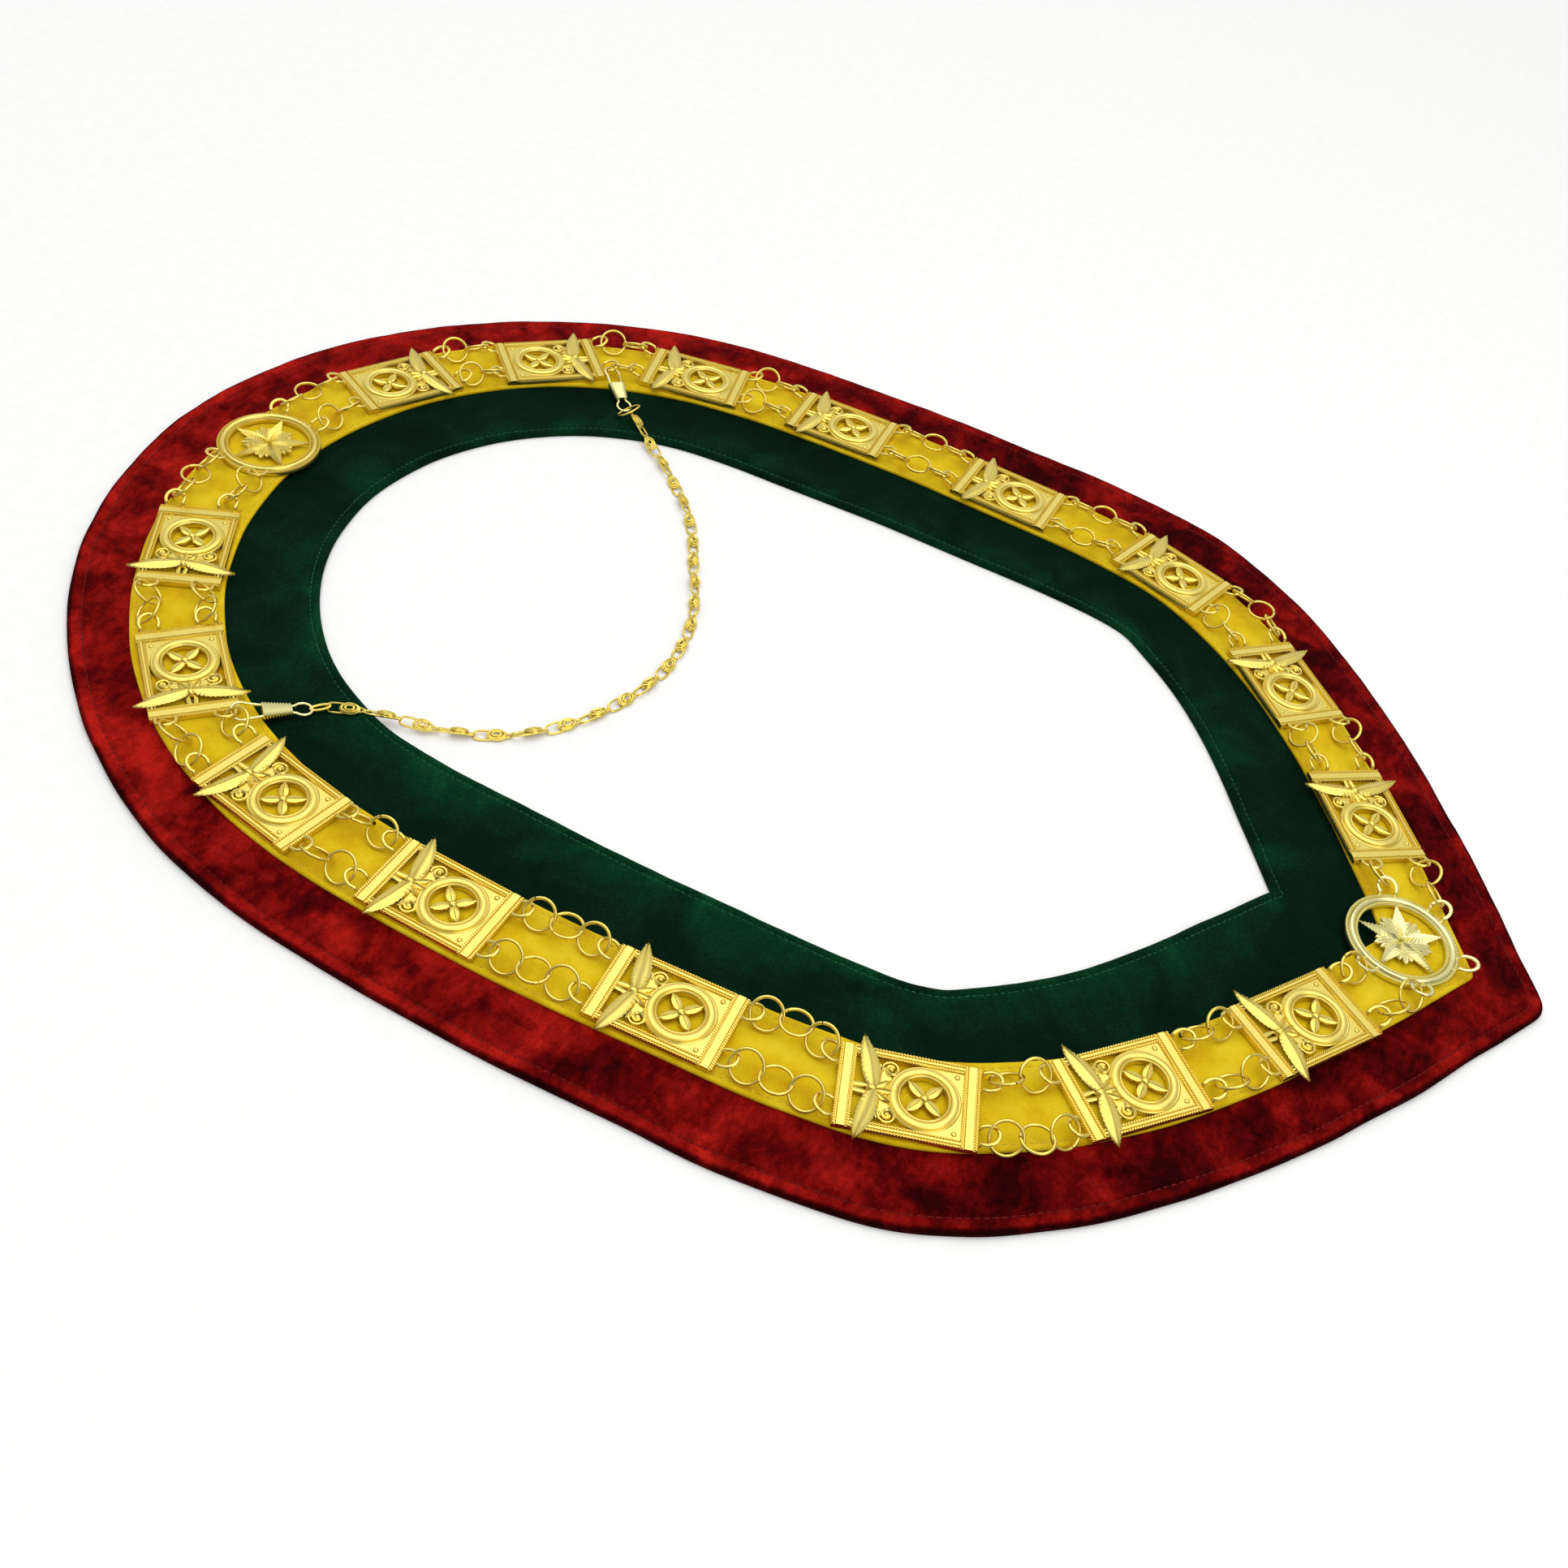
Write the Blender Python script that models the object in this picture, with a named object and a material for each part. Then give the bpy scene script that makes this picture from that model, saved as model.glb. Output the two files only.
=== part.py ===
"""A chain collar: pierced gilt plates and two round medallions, held together by small rings.

It lies on its back on a felt ribbon over two velvet bands, with a fine neck chain on two clips.
Metres, +Z up. The pointed front is towards -Y and the back of the neck towards +Y. The origin is
on the surface that the collar lies on, under the middle of its width and length.
"""

import math

import bmesh
import bpy
from mathutils import Matrix, Vector
from mathutils.geometry import delaunay_2d_cdt

# Centre line of the chain, from the front point to the back of the neck
CHAIN_HALF_WIDTH = 0.1629
CHAIN_LENGTH = 0.4913
FRONT_SHARE = 0.4973  # share of the chain's length in front of the origin

# Cloth bands, measured from the centre line
RED_REACH = 0.0423
GREEN_REACH = 0.0510
FELT_HALF_WIDTH = 0.0165
VELVET_THICKNESS = 0.0020
FELT_THICKNESS = 0.0012
STATIONS_PER_SPAN = 2

# Clearances
REST_GAP = 0.0003  # between pieces that lie on or against each other
FUSE_DEPTH = 0.0003  # how far two wires that are joined cut into each other

# Pierced plates
PLATE_LENGTH = 0.0450
PLATE_WIDTH = 0.0300
PLATE_THICKNESS = 0.0026
PLATE_RELIEF = 0.0008
END_BAR = 0.0054
SIDE_BAR = 0.0030
ROUNDEL_BAND = 0.0041  # width of the round moulding
ROUNDEL_MARGIN = 0.0004  # from the round moulding to the side bars
LEAF_OVERHANG = 0.0045  # how far each leaf's tip stands out past the side bar
LEAF_GAP = 0.0026  # width of the opening between a leaf and the end bar

# Round medallions
MEDALLION_RADIUS = 0.0205
MEDALLION_RIM = 0.0046
MEDALLION_HUB = 0.0062
MEDALLION_SIDES = 16
LONG_POINTS = 5
MEDALLION_ALONG = (0.0220, 0.9990)  # places along the chain, front and back
MEDALLION_EYE_ANGLE = math.radians(26.0)

# Eyes on the plates' ends and the medallions' rims
EYE_SPREAD = 0.0098  # from the plate's middle to an eye's centre, sideways
EYE_REACH = 0.0026  # from the plate's edge to an eye's centre
EYE_HEIGHT = 0.00375  # from the plate's underside to an eye's centre
EYE_HALF_WIDTH = 0.0037
EYE_STRIP = 0.0014
EYE_STRIP_THICKNESS = 0.0011
EYE_TILT = math.radians(18.0)

# Rings between the plates
RING_RADIUS = 0.00535  # to the middle of the wire
RING_WIRE = 0.000575  # radius of the wire
RING_SIDES = 10
WIRE_SIDES = 5
RING_ROLL = math.radians(41.0)
LONE_RING_ROLL = math.radians(38.0)
MIDDLE_RING_ROLL = math.radians(5.0)
RING_PLAY = (-0.0012, 0.0011)  # how far a ring's wire may sit from the eye's centre
LOOSE_PLAY = 0.0005
STRAND_TURN = math.radians(18.0)  # most that a loose strand of three rings turns aside

# Snap clips on the two back plates, measured from the eye that each clip hooks into
CLIP_PITCH = math.radians(8.6)
HOOK_CENTRE = 0.00515
HOOK_RADIUS = 0.0035
HOOK_WIRE = 0.00055
HOOK_ROLL = math.radians(18.0)
SLEEVE_START = 0.0122
SLEEVE_LENGTH = 0.0100
SLEEVE_HALF_WIDTH = 0.0040
SLEEVE_HALF_THICKNESS = 0.0018
SLEEVE_SIDES = 8
SHANK_RADIUS = 0.0010
LOOP_RADIUS = 0.0032
LOOP_WIRE = 0.0007
JUMP_RING_RADIUS = 0.0052
JUMP_RING_WIRE = 0.0005
JUMP_RING_ROLL = math.radians(22.0)

# Fine neck chain
NECK_CHAIN_RADIUS = 0.00225

# Centre line and widths, as shares of the named sizes, from the front point to the back
ROUTE = (
    # across, along, red, green, felt
    (0.000, 0.000, 0.88, 0.96, 0.86),
    (0.342, 0.071, 0.885, 0.98, 0.86),
    (0.690, 0.164, 0.92, 0.93, 0.92),
    (0.936, 0.285, 1.03, 0.935, 1.0),
    (0.994, 0.447, 1.00, 0.98, 1.0),
    (1.000, 0.616, 0.96, 1.02, 1.0),
    (0.945, 0.762, 0.93, 0.985, 1.0),
    (0.755, 0.883, 0.87, 0.99, 1.0),
    (0.420, 0.968, 0.925, 0.985, 1.0),
    (0.000, 1.000, 0.965, 0.985, 1.0),
)

# Plates of the right half from the front to the back: places as shares, heading in degrees
PLATES = (
    # across, along, heading
    (0.340, 0.0708, 35.4),
    (0.684, 0.1624, 43.4),
    (0.937, 0.2864, 72.2),
    (0.9945, 0.4478, 87.6),
    (1.000, 0.6153, 92.4),
    (0.9466, 0.7594, 102.0),
    (0.7612, 0.8793, 134.2),
    (0.4260, 0.9660, 152.0),
)
CLIP_PLATE = 6  # index of the plate that carries a clip
FACING_BACK = (6, 7)  # indexes of the plates whose round moulding is nearer the back

# Route of the neck chain from its left end to its right one. Across is a share of the way between
# the ends, and drop, towards the front, is a share of that distance.
NECK_CHAIN_ROUTE = (
    # across, drop
    (0.000, 0.000),
    (0.031, 0.091),
    (0.074, 0.199),
    (0.145, 0.295),
    (0.269, 0.365),
    (0.412, 0.391),
    (0.555, 0.363),
    (0.688, 0.292),
    (0.812, 0.214),
    (0.912, 0.116),
    (1.000, 0.000),
)
NECK_CHAIN_ENDS = ((0.0112, 0.0008), (0.0212, 0.0034))  # past each clip's loop, and aside of it
NECK_CHAIN_ON_FLOOR = (2, 9)  # first and last of the points that lie in the neck opening
NECK_CHAIN_STEPS = 2

FRONT_Y = -FRONT_SHARE * CHAIN_LENGTH
FELT_BOTTOM = VELVET_THICKNESS + REST_GAP
FELT_TOP = FELT_BOTTOM + FELT_THICKNESS
METAL_BOTTOM = FELT_TOP + REST_GAP
EYE_Z = METAL_BOTTOM + EYE_HEIGHT
UP = Vector((0.0, 0.0, 1.0))


def clear_scene():
    for item in list(bpy.data.objects):
        bpy.data.objects.remove(item, do_unlink=True)


def finish(name, colour, roughness, metallic):
    """Returns a plain material of one colour."""
    material = bpy.data.materials.new(name)
    material.use_nodes = True
    shader = material.node_tree.nodes["Principled BSDF"]
    shader.inputs["Base Color"].default_value = (*colour, 1.0)
    shader.inputs["Roughness"].default_value = roughness
    shader.inputs["Metallic"].default_value = metallic
    return material


def mesh_from(bm, name):
    """Closes the bmesh into a mesh whose faces point outwards."""
    bmesh.ops.recalc_face_normals(bm, faces=bm.faces)
    mesh = bpy.data.meshes.new(name)
    bm.to_mesh(mesh)
    bm.free()
    return mesh


def add_object(name, mesh, material, place=None):
    if material.name not in mesh.materials:
        mesh.materials.append(material)
    item = bpy.data.objects.new(name, mesh)
    if place is not None:
        item.matrix_world = place
    bpy.context.collection.objects.link(item)
    return item


def joined(meshes, name):
    """Returns one closed mesh from closed meshes that cut into each other."""
    pieces = []
    for mesh in meshes:
        piece = bpy.data.objects.new(name, mesh)
        bpy.context.collection.objects.link(piece)
        pieces.append(piece)
    for piece in pieces[1:]:
        union = pieces[0].modifiers.new("Union", "BOOLEAN")
        union.operation = "UNION"
        union.solver = "EXACT"
        union.object = piece
    depsgraph = bpy.context.evaluated_depsgraph_get()
    mesh = bpy.data.meshes.new_from_object(pieces[0].evaluated_get(depsgraph))
    mesh.name = name
    for piece in pieces:
        bpy.data.objects.remove(piece, do_unlink=True)
    return mesh


def smooth(mesh, angle=60.0):
    mesh.shade_smooth()
    mesh.set_sharp_from_angle(angle=math.radians(angle))
    return mesh


def sweep(stations, section, name, closed=False):
    """Returns a solid swept through stations of (point, side, up), with a section of (side, up)."""
    bm = bmesh.new()
    rows = []
    for point, side, up in stations:
        rows.append([bm.verts.new(point + side * s + up * u) for s, u in section])
    pairs = list(zip(rows, rows[1:]))
    if closed:
        pairs.append((rows[-1], rows[0]))
    count = len(section)
    for row, after in pairs:
        for k in range(count):
            following = (k + 1) % count
            bm.faces.new((row[k], row[following], after[following], after[k]))
    if not closed:
        bm.faces.new(rows[0])
        bm.faces.new(rows[-1])
    return mesh_from(bm, name)


def round_section(radius, sides):
    turns = [2.0 * math.pi * k / sides for k in range(sides)]
    return [(radius * math.cos(turn), radius * math.sin(turn)) for turn in turns]


def wire_ring(centre, forward, side, radius, wire, name):
    """Returns a ring of round wire in the plane of forward and side."""
    normal = forward.cross(side).normalized()
    stations = []
    for k in range(RING_SIDES):
        turn = 2.0 * math.pi * k / RING_SIDES
        radial = forward * math.cos(turn) + side * math.sin(turn)
        stations.append((centre + radial * radius, radial, normal))
    return sweep(stations, round_section(wire, WIRE_SIDES), name, closed=True)


def between(before, start, end, after, share):
    """Returns a point of the smooth curve from start to end, as a list of columns."""
    row = []
    for a, b, c, d in zip(before, start, end, after):
        curve = 2.0 * b + (c - a) * share
        curve += (2.0 * a - 5.0 * b + 4.0 * c - d) * share**2
        curve += (3.0 * b - a - 3.0 * c + d) * share**3
        row.append(0.5 * curve)
    return row


def smooth_rows(rows, before, after, steps):
    """Returns rows of columns along a smooth curve through the given rows."""
    ends = [before, *rows, after]
    path = []
    for k in range(len(rows) - 1):
        for step in range(steps):
            path.append(between(*ends[k : k + 4], step / steps))
    path.append(list(rows[-1]))
    return path


def mirrored(point):
    return Vector((-point.x, *point[1:]))


def centre_rows():
    """Returns (place, outward direction, red, green, felt) along the right half."""
    first, second, before_last = ROUTE[0], ROUTE[1], ROUTE[-2]
    before = [2.0 * a - b for a, b in zip(first, second)]
    after = [-before_last[0], *before_last[1:]]
    rows = smooth_rows(ROUTE, before, after, STATIONS_PER_SPAN)
    places = [Vector((row[0] * CHAIN_HALF_WIDTH, FRONT_Y + row[1] * CHAIN_LENGTH)) for row in rows]
    stations = []
    for k, (row, place) in enumerate(zip(rows, places)):
        ahead = places[k + 1] if k + 1 < len(places) else mirrored(places[k - 1])
        behind = places[k - 1] if k > 0 else place
        travel = (ahead - behind).normalized()
        outward = Vector((travel.y, -travel.x))
        if k == 0:
            outward = Vector((0.0, -1.0 / travel.x))
        if k + 1 == len(places):
            outward = Vector((0.0, 1.0))
        stations.append((place, outward, *row[2:]))
    return stations


def edge_loop(reaches):
    """Returns the closed edge that lies the given reaches outwards from the centre line."""
    right = [station[0] + station[1] * reach for station, reach in zip(centre_rows(), reaches)]
    left = [mirrored(point) for point in right[-2:0:-1]]
    return right + left


def cloth_band(name, inner, outer, bottom, thickness, material):
    """Adds a flat band between two reaches from the centre line."""
    bm = bmesh.new()
    loops = []
    for reaches in (inner, outer):
        for height in (bottom, bottom + thickness):
            loops.append([bm.verts.new((*point, height)) for point in edge_loop(reaches)])
    inner_low, inner_high, outer_low, outer_high = loops
    count = len(inner_low)
    for first, second in (
        (inner_low, outer_low),
        (outer_low, outer_high),
        (outer_high, inner_high),
        (inner_high, inner_low),
    ):
        for k in range(count):
            following = (k + 1) % count
            bm.faces.new((first[k], first[following], second[following], second[k]))
    return add_object(name, mesh_from(bm, name), material)


def add_cloth():
    red = finish("red_velvet", (0.19, 0.004, 0.003), 0.85, 0.0)
    green = finish("green_velvet", (0.0, 0.035, 0.012), 0.85, 0.0)
    felt = finish("yellow_felt", (0.72, 0.58, 0.01), 0.9, 0.0)
    stations = centre_rows()
    seam = REST_GAP / 2.0
    cloth_band(
        "red_velvet_band",
        [seam for station in stations],
        [RED_REACH * station[2] for station in stations],
        0.0,
        VELVET_THICKNESS,
        red,
    )
    cloth_band(
        "green_velvet_band",
        [-GREEN_REACH * station[3] for station in stations],
        [-seam for station in stations],
        0.0,
        VELVET_THICKNESS,
        green,
    )
    cloth_band(
        "yellow_felt_ribbon",
        [-FELT_HALF_WIDTH * station[4] for station in stations],
        [FELT_HALF_WIDTH * station[4] for station in stations],
        FELT_BOTTOM,
        FELT_THICKNESS,
        felt,
    )


def is_inside(point, loop):
    inside = False
    for start, end in zip(loop, loop[1:] + loop[:1]):
        if (start[1] > point[1]) != (end[1] > point[1]):
            crossing = start[0] + (end[0] - start[0]) * (point[1] - start[1]) / (end[1] - start[1])
            if crossing > point[0]:
                inside = not inside
    return inside


def filled(outline, holes, crests):
    """Returns input indexes of the triangles that fill an outline around its holes."""
    points = []
    edges = []
    chains = [(loop, True) for loop in [outline, *holes]] + [(chain, shut) for chain, _, shut in crests]
    for chain, shut in chains:
        first = len(points)
        points += [Vector(point) for point in chain]
        edges += [(first + k, first + k + 1) for k in range(len(chain) - 1)]
        if shut:
            edges.append((first + len(chain) - 1, first))
    places, _, faces, sources, _, _ = delaunay_2d_cdt(points, edges, [], 0, 1e-8)
    kept = []
    for face in faces:
        middle = sum((places[corner] for corner in face), Vector((0.0, 0.0))) / len(face)
        if is_inside(middle, outline) and not any(is_inside(middle, hole) for hole in holes):
            kept.append([sources[corner][0] for corner in face])
    return points, kept


def pierced_slab(outline, holes, crests, bottom, thickness, name):
    """Returns a flat plate with holes, whose top rises to crests of (points, height, shut)."""
    bm = bmesh.new()
    rim_points, rim_faces = filled(outline, holes, [])
    points, faces = filled(outline, holes, crests)
    heights = [0.0] * len(rim_points)
    for chain, height, _ in crests:
        heights += [height] * len(chain)
    low = [bm.verts.new((*point, bottom)) for point in rim_points]
    high = [
        bm.verts.new((*point, bottom + thickness + height)) for point, height in zip(points, heights)
    ]
    for face in rim_faces:
        bm.faces.new([low[corner] for corner in face])
    for face in faces:
        bm.faces.new([high[corner] for corner in face])
    first = 0
    for loop in [outline, *holes]:
        count = len(loop)
        for k in range(count):
            here = first + k
            following = first + (k + 1) % count
            bm.faces.new((low[here], low[following], high[following], high[here]))
        first += count
    return mesh_from(bm, name)


def polar(radius, angle, centre=(0.0, 0.0)):
    return (centre[0] + radius * math.cos(angle), centre[1] + radius * math.sin(angle))


def eye_strip(edge_centre, direction, name):
    """Returns a flat open loop that stands out from a metal edge, tilted up at its tip."""
    out = Vector((math.cos(direction), math.sin(direction), 0.0))
    side = UP.cross(out)
    centre = Vector((*edge_centre, EYE_HEIGHT)) + out * EYE_REACH
    root = -EYE_REACH - EYE_STRIP
    tip = EYE_HALF_WIDTH * 0.95
    tip_half = EYE_HALF_WIDTH * 0.73
    corners = (
        (root, EYE_HALF_WIDTH),
        (tip, tip_half),
        (tip, -tip_half),
        (root, -EYE_HALF_WIDTH),
    )
    lean = math.atan2(tip_half - EYE_HALF_WIDTH, tip - root)
    corner_turn = (math.pi / 2.0 + lean) / 2.0
    stretch = 1.0 / math.cos(corner_turn)
    normals = (
        (0.0, 1.0),
        (stretch * math.sin(corner_turn), stretch * math.cos(corner_turn)),
        (stretch * math.sin(corner_turn), -stretch * math.cos(corner_turn)),
        (0.0, -1.0),
    )
    climb = math.tan(EYE_TILT)
    stations = []
    for (forward, across), (normal_forward, normal_across) in zip(corners, normals):
        point = centre + out * forward + side * across + UP * climb * forward
        widen = out * normal_forward + side * normal_across + UP * climb * normal_forward
        stations.append((point, widen, UP))
    half, half_height = EYE_STRIP / 2.0, EYE_STRIP_THICKNESS / 2.0
    section = ((-half, -half_height), (half, -half_height), (half, half_height), (-half, half_height))
    return sweep(stations, section, name)


def plate_mesh():
    """Returns one plate about its own middle, its round moulding towards +X."""
    half_length = PLATE_LENGTH / 2.0
    half_width = PLATE_WIDTH / 2.0
    bar = half_length - END_BAR
    roundel = half_width - SIDE_BAR - ROUNDEL_MARGIN
    middle = (bar - roundel - ROUNDEL_MARGIN, 0.0)
    window = roundel - ROUNDEL_BAND
    leaf_end = -bar + LEAF_GAP + SIDE_BAR
    tip = half_width + LEAF_OVERHANG

    quarter = [
        (half_length, half_width),
        (leaf_end, half_width),
        (-bar + SIDE_BAR / 2.0, tip),
        (-bar - SIDE_BAR / 4.0, half_width),
        (-half_length, half_width),
    ]
    outline = quarter + [(x, -y) for x, y in quarter[::-1]]

    holes = []
    for k in range(4):
        angle = math.pi / 2.0 * k
        holes.append(
            [
                polar(window, angle - 0.5, middle),
                polar(window, angle + 0.5, middle),
                polar(window * 0.4, angle, middle),
            ]
        )
    for flip in (1.0, -1.0):
        holes.append(
            [
                (-bar, flip * half_width * 0.14),
                (-bar + LEAF_GAP, flip * half_width * 0.34),
                (-bar, flip * half_width * 0.78),
            ]
        )

    ridge_x = half_length - END_BAR / 2.0
    ridge_y = half_width - SIDE_BAR / 2.0
    crests = [
        ([(ridge_x, -ridge_y), (ridge_x, ridge_y)], PLATE_RELIEF, False),
        ([(-ridge_x, -ridge_y), (-ridge_x, ridge_y)], PLATE_RELIEF, False),
        (
            [polar(window + ROUNDEL_BAND * 0.5, math.pi / 4.0 * k, middle) for k in range(8)],
            PLATE_RELIEF,
            True,
        ),
        ([middle], PLATE_RELIEF, False),
    ]
    for flip in (1.0, -1.0):
        crests.append(
            (
                [
                    (leaf_end, flip * half_width * 0.14),
                    (-bar + SIDE_BAR * 0.55, flip * half_width),
                ],
                PLATE_RELIEF,
                False,
            )
        )
    meshes = [pierced_slab(outline, holes, crests, 0.0, PLATE_THICKNESS, "plate")]
    for end, direction in ((half_length, 0.0), (-half_length, math.pi)):
        for side in (EYE_SPREAD, -EYE_SPREAD):
            meshes.append(eye_strip((end, side), direction, "plate_eye"))
    return joined(meshes, "plate")


def medallion_eye_angles(with_bottom_eye):
    angles = [MEDALLION_EYE_ANGLE, -MEDALLION_EYE_ANGLE]
    angles += [math.pi - angle for angle in angles]
    if with_bottom_eye:
        angles.append(-math.pi / 2.0)
    return angles


def medallion_mesh(with_bottom_eye, name):
    """Returns a rim with a pierced star of long and short rays inside it."""
    rim_inner = MEDALLION_RADIUS - MEDALLION_RIM
    half_side = math.pi / MEDALLION_SIDES
    outline = [polar(MEDALLION_RADIUS, half_side * (2 * k + 1)) for k in range(MEDALLION_SIDES)]
    pitch = 2.0 * math.pi / LONG_POINTS
    holes = []
    crests = [
        ([polar(MEDALLION_RADIUS - MEDALLION_RIM / 2.0, pitch / 2.0 * k) for k in range(10)], PLATE_RELIEF, True),
        ([(0.0, 0.0)], PLATE_RELIEF * 1.5, False),
    ]
    for k in range(LONG_POINTS):
        point = math.pi / 2.0 + pitch * k
        ray = point + pitch / 2.0
        holes.append(
            [
                polar(rim_inner, point + pitch * 0.1),
                polar(rim_inner, point + pitch * 0.9),
                polar(MEDALLION_HUB, point + pitch * 0.68),
                polar(MEDALLION_HUB * 1.7, ray),
                polar(MEDALLION_HUB, point + pitch * 0.32),
            ]
        )
        crests.append(([polar(rim_inner * 0.62, point)], PLATE_RELIEF, False))
    meshes = [pierced_slab(outline, holes, crests, 0.0, PLATE_THICKNESS, name)]
    flat = MEDALLION_RADIUS * math.cos(half_side)
    for angle in medallion_eye_angles(with_bottom_eye):
        meshes.append(eye_strip(polar(flat, angle), angle, name))
    return joined(meshes, name)


def plate_place(index, flip):
    """Returns the middle and heading of a plate, on the left where flip is -1."""
    across, along, heading = PLATES[index]
    angle = math.radians(heading)
    if flip < 0.0:
        angle = math.pi - angle
    return Vector((flip * across * CHAIN_HALF_WIDTH, FRONT_Y + along * CHAIN_LENGTH)), angle


def medallion_place(index):
    return Vector((0.0, FRONT_Y + MEDALLION_ALONG[index] * CHAIN_LENGTH))


def add_plates(gilt):
    plate = smooth(plate_mesh(), 20.0)
    for flip, side in ((1.0, "right"), (-1.0, "left")):
        for index in range(len(PLATES)):
            place, heading = plate_place(index, flip)
            if index not in FACING_BACK:
                heading += math.pi
            matrix = Matrix.Translation((*place, METAL_BOTTOM)) @ Matrix.Rotation(heading, 4, "Z")
            add_object(f"plate_{side}_{index + 1}", plate, gilt, matrix)
    for index, name in enumerate(("medallion_front", "medallion_back")):
        mesh = smooth(medallion_mesh(index == 0, name), 20.0)
        add_object(name, mesh, gilt, Matrix.Translation((*medallion_place(index), METAL_BOTTOM)))


def plate_eyes(index, flip, end):
    """Returns the outer and inner eye centres at one end: -1 towards the front, 1 the back."""
    place, heading = plate_place(index, flip)
    ahead = Vector((math.cos(heading), math.sin(heading)))
    outward = Vector((ahead.y, -ahead.x)) * flip
    middle = place + ahead * end * (PLATE_LENGTH / 2.0 + EYE_REACH)
    return middle + outward * EYE_SPREAD, middle - outward * EYE_SPREAD


def medallion_eyes(index, flip):
    """Returns the outer and inner eye centres on one side of a medallion."""
    reach = MEDALLION_RADIUS * math.cos(math.pi / MEDALLION_SIDES) + EYE_REACH
    outer_sign = -1.0 if index == 0 else 1.0
    across = reach * math.cos(MEDALLION_EYE_ANGLE) * flip
    along = reach * math.sin(MEDALLION_EYE_ANGLE) * outer_sign
    middle = medallion_place(index)
    return middle + Vector((across, along)), middle + Vector((across, -along))


def clamp(value, low, high):
    return max(low, min(high, value))


def strand_mesh(start, end, lean, inward, name):
    """Returns the fused rings of one strand from eye to eye.

    lean is the plan direction that a loose strand of three or more rings turns to. inward points
    to the neck opening, and most end rings have that side raised.
    """
    chord = end - start
    ahead = chord.normalized()
    hold = 2.0 * RING_WIRE - FUSE_DEPTH
    link = 2.0 * RING_RADIUS - hold
    count = max(1, round((chord.length - hold) / link))
    if count == 1:
        reach = chord.length / 2.0
        play = clamp(reach - RING_RADIUS, *RING_PLAY)
        radius = reach - play
        middle = (start + end) / 2.0
        centre = Vector((*middle, EYE_Z + math.tan(EYE_TILT) * play))
        side = Vector((*inward, 0.0)) * math.cos(LONE_RING_ROLL) + UP * math.sin(LONE_RING_ROLL)
        return wire_ring(centre, Vector((*ahead, 0.0)), side, radius, RING_WIRE, name)

    straight = (count - 2) * link
    arm = (chord.length - straight) / 2.0
    turn = 0.0
    if count > 2:
        loose = 2.0 * RING_RADIUS + LOOSE_PLAY - hold / 2.0
        turn = min(STRAND_TURN, math.acos(clamp(arm / loose, 0.0, 1.0)))
    reach = arm / math.cos(turn)
    play = clamp(reach + hold / 2.0 - 2.0 * RING_RADIUS, *RING_PLAY)
    near = EYE_Z + math.tan(EYE_TILT) * play
    low = METAL_BOTTOM + RING_WIRE + RING_RADIUS * math.sin(RING_ROLL)
    pitch = math.asin(clamp((low - near) / RING_RADIUS, 0.0, 0.5))
    radius = (reach + hold / 2.0 - play) / (2.0 * math.cos(pitch))
    far = near + 2.0 * radius * math.sin(pitch)

    meshes = []
    for eye, away, raised in ((start, ahead, inward), (end, -ahead, -inward if count == 2 else inward)):
        plan = away * math.cos(turn) + lean * math.sin(turn)
        level = (raised - plan * raised.dot(plan)).normalized()
        forward = Vector((*plan, 0.0)) * math.cos(pitch) + UP * math.sin(pitch)
        lift = UP * math.cos(pitch) - Vector((*plan, 0.0)) * math.sin(pitch)
        side = Vector((*level, 0.0)) * math.cos(RING_ROLL) + lift * math.sin(RING_ROLL)
        centre = Vector((*(eye + plan * play), near)) + forward * radius
        meshes.append(wire_ring(centre, forward, side, radius, RING_WIRE, name))
    bow = lean * reach * math.sin(turn)
    side = Vector((*inward, 0.0)) * math.cos(MIDDLE_RING_ROLL) - UP * math.sin(MIDDLE_RING_ROLL)
    for k in range(count - 2):
        place = start + ahead * (arm + link * (k + 0.5)) + bow
        meshes.append(
            wire_ring(Vector((*place, far)), Vector((*ahead, 0.0)), side, RING_RADIUS, RING_WIRE, name)
        )
    return joined(meshes, name)


def add_strands(gilt):
    for flip, side in ((1.0, "right"), (-1.0, "left")):
        starts = [medallion_eyes(0, flip)]
        ends = []
        for index in range(len(PLATES)):
            ends.append(plate_eyes(index, flip, -1.0))
            starts.append(plate_eyes(index, flip, 1.0))
        ends.append(medallion_eyes(1, flip))
        for number, (before, after) in enumerate(zip(starts, ends), start=1):
            for edge, row in ((0, "outer"), (1, "inner")):
                start, end = before[edge], after[edge]
                ahead = (end - start).normalized()
                inward = Vector((-ahead.y, ahead.x)) * flip
                lean = -inward if row == "outer" else inward
                name = f"rings_{side}_{row}_{number}"
                mesh = smooth(strand_mesh(start, end, lean, inward, name))
                add_object(name, mesh, gilt)


def clip_frame(flip):
    """Returns the eye centre and the clip's forward, side and up directions."""
    _, inner_eye = plate_eyes(CLIP_PLATE, flip, -1.0)
    _, heading = plate_place(CLIP_PLATE, flip)
    ahead = Vector((math.cos(heading), math.sin(heading)))
    inward = Vector((-ahead.y, ahead.x, 0.0)) * flip
    side = Vector((-ahead.x, -ahead.y, 0.0))
    forward = inward * math.cos(CLIP_PITCH) - UP * math.sin(CLIP_PITCH)
    up = inward * math.sin(CLIP_PITCH) + UP * math.cos(CLIP_PITCH)
    return Vector((*inner_eye, EYE_Z)), forward, side, up


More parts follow.
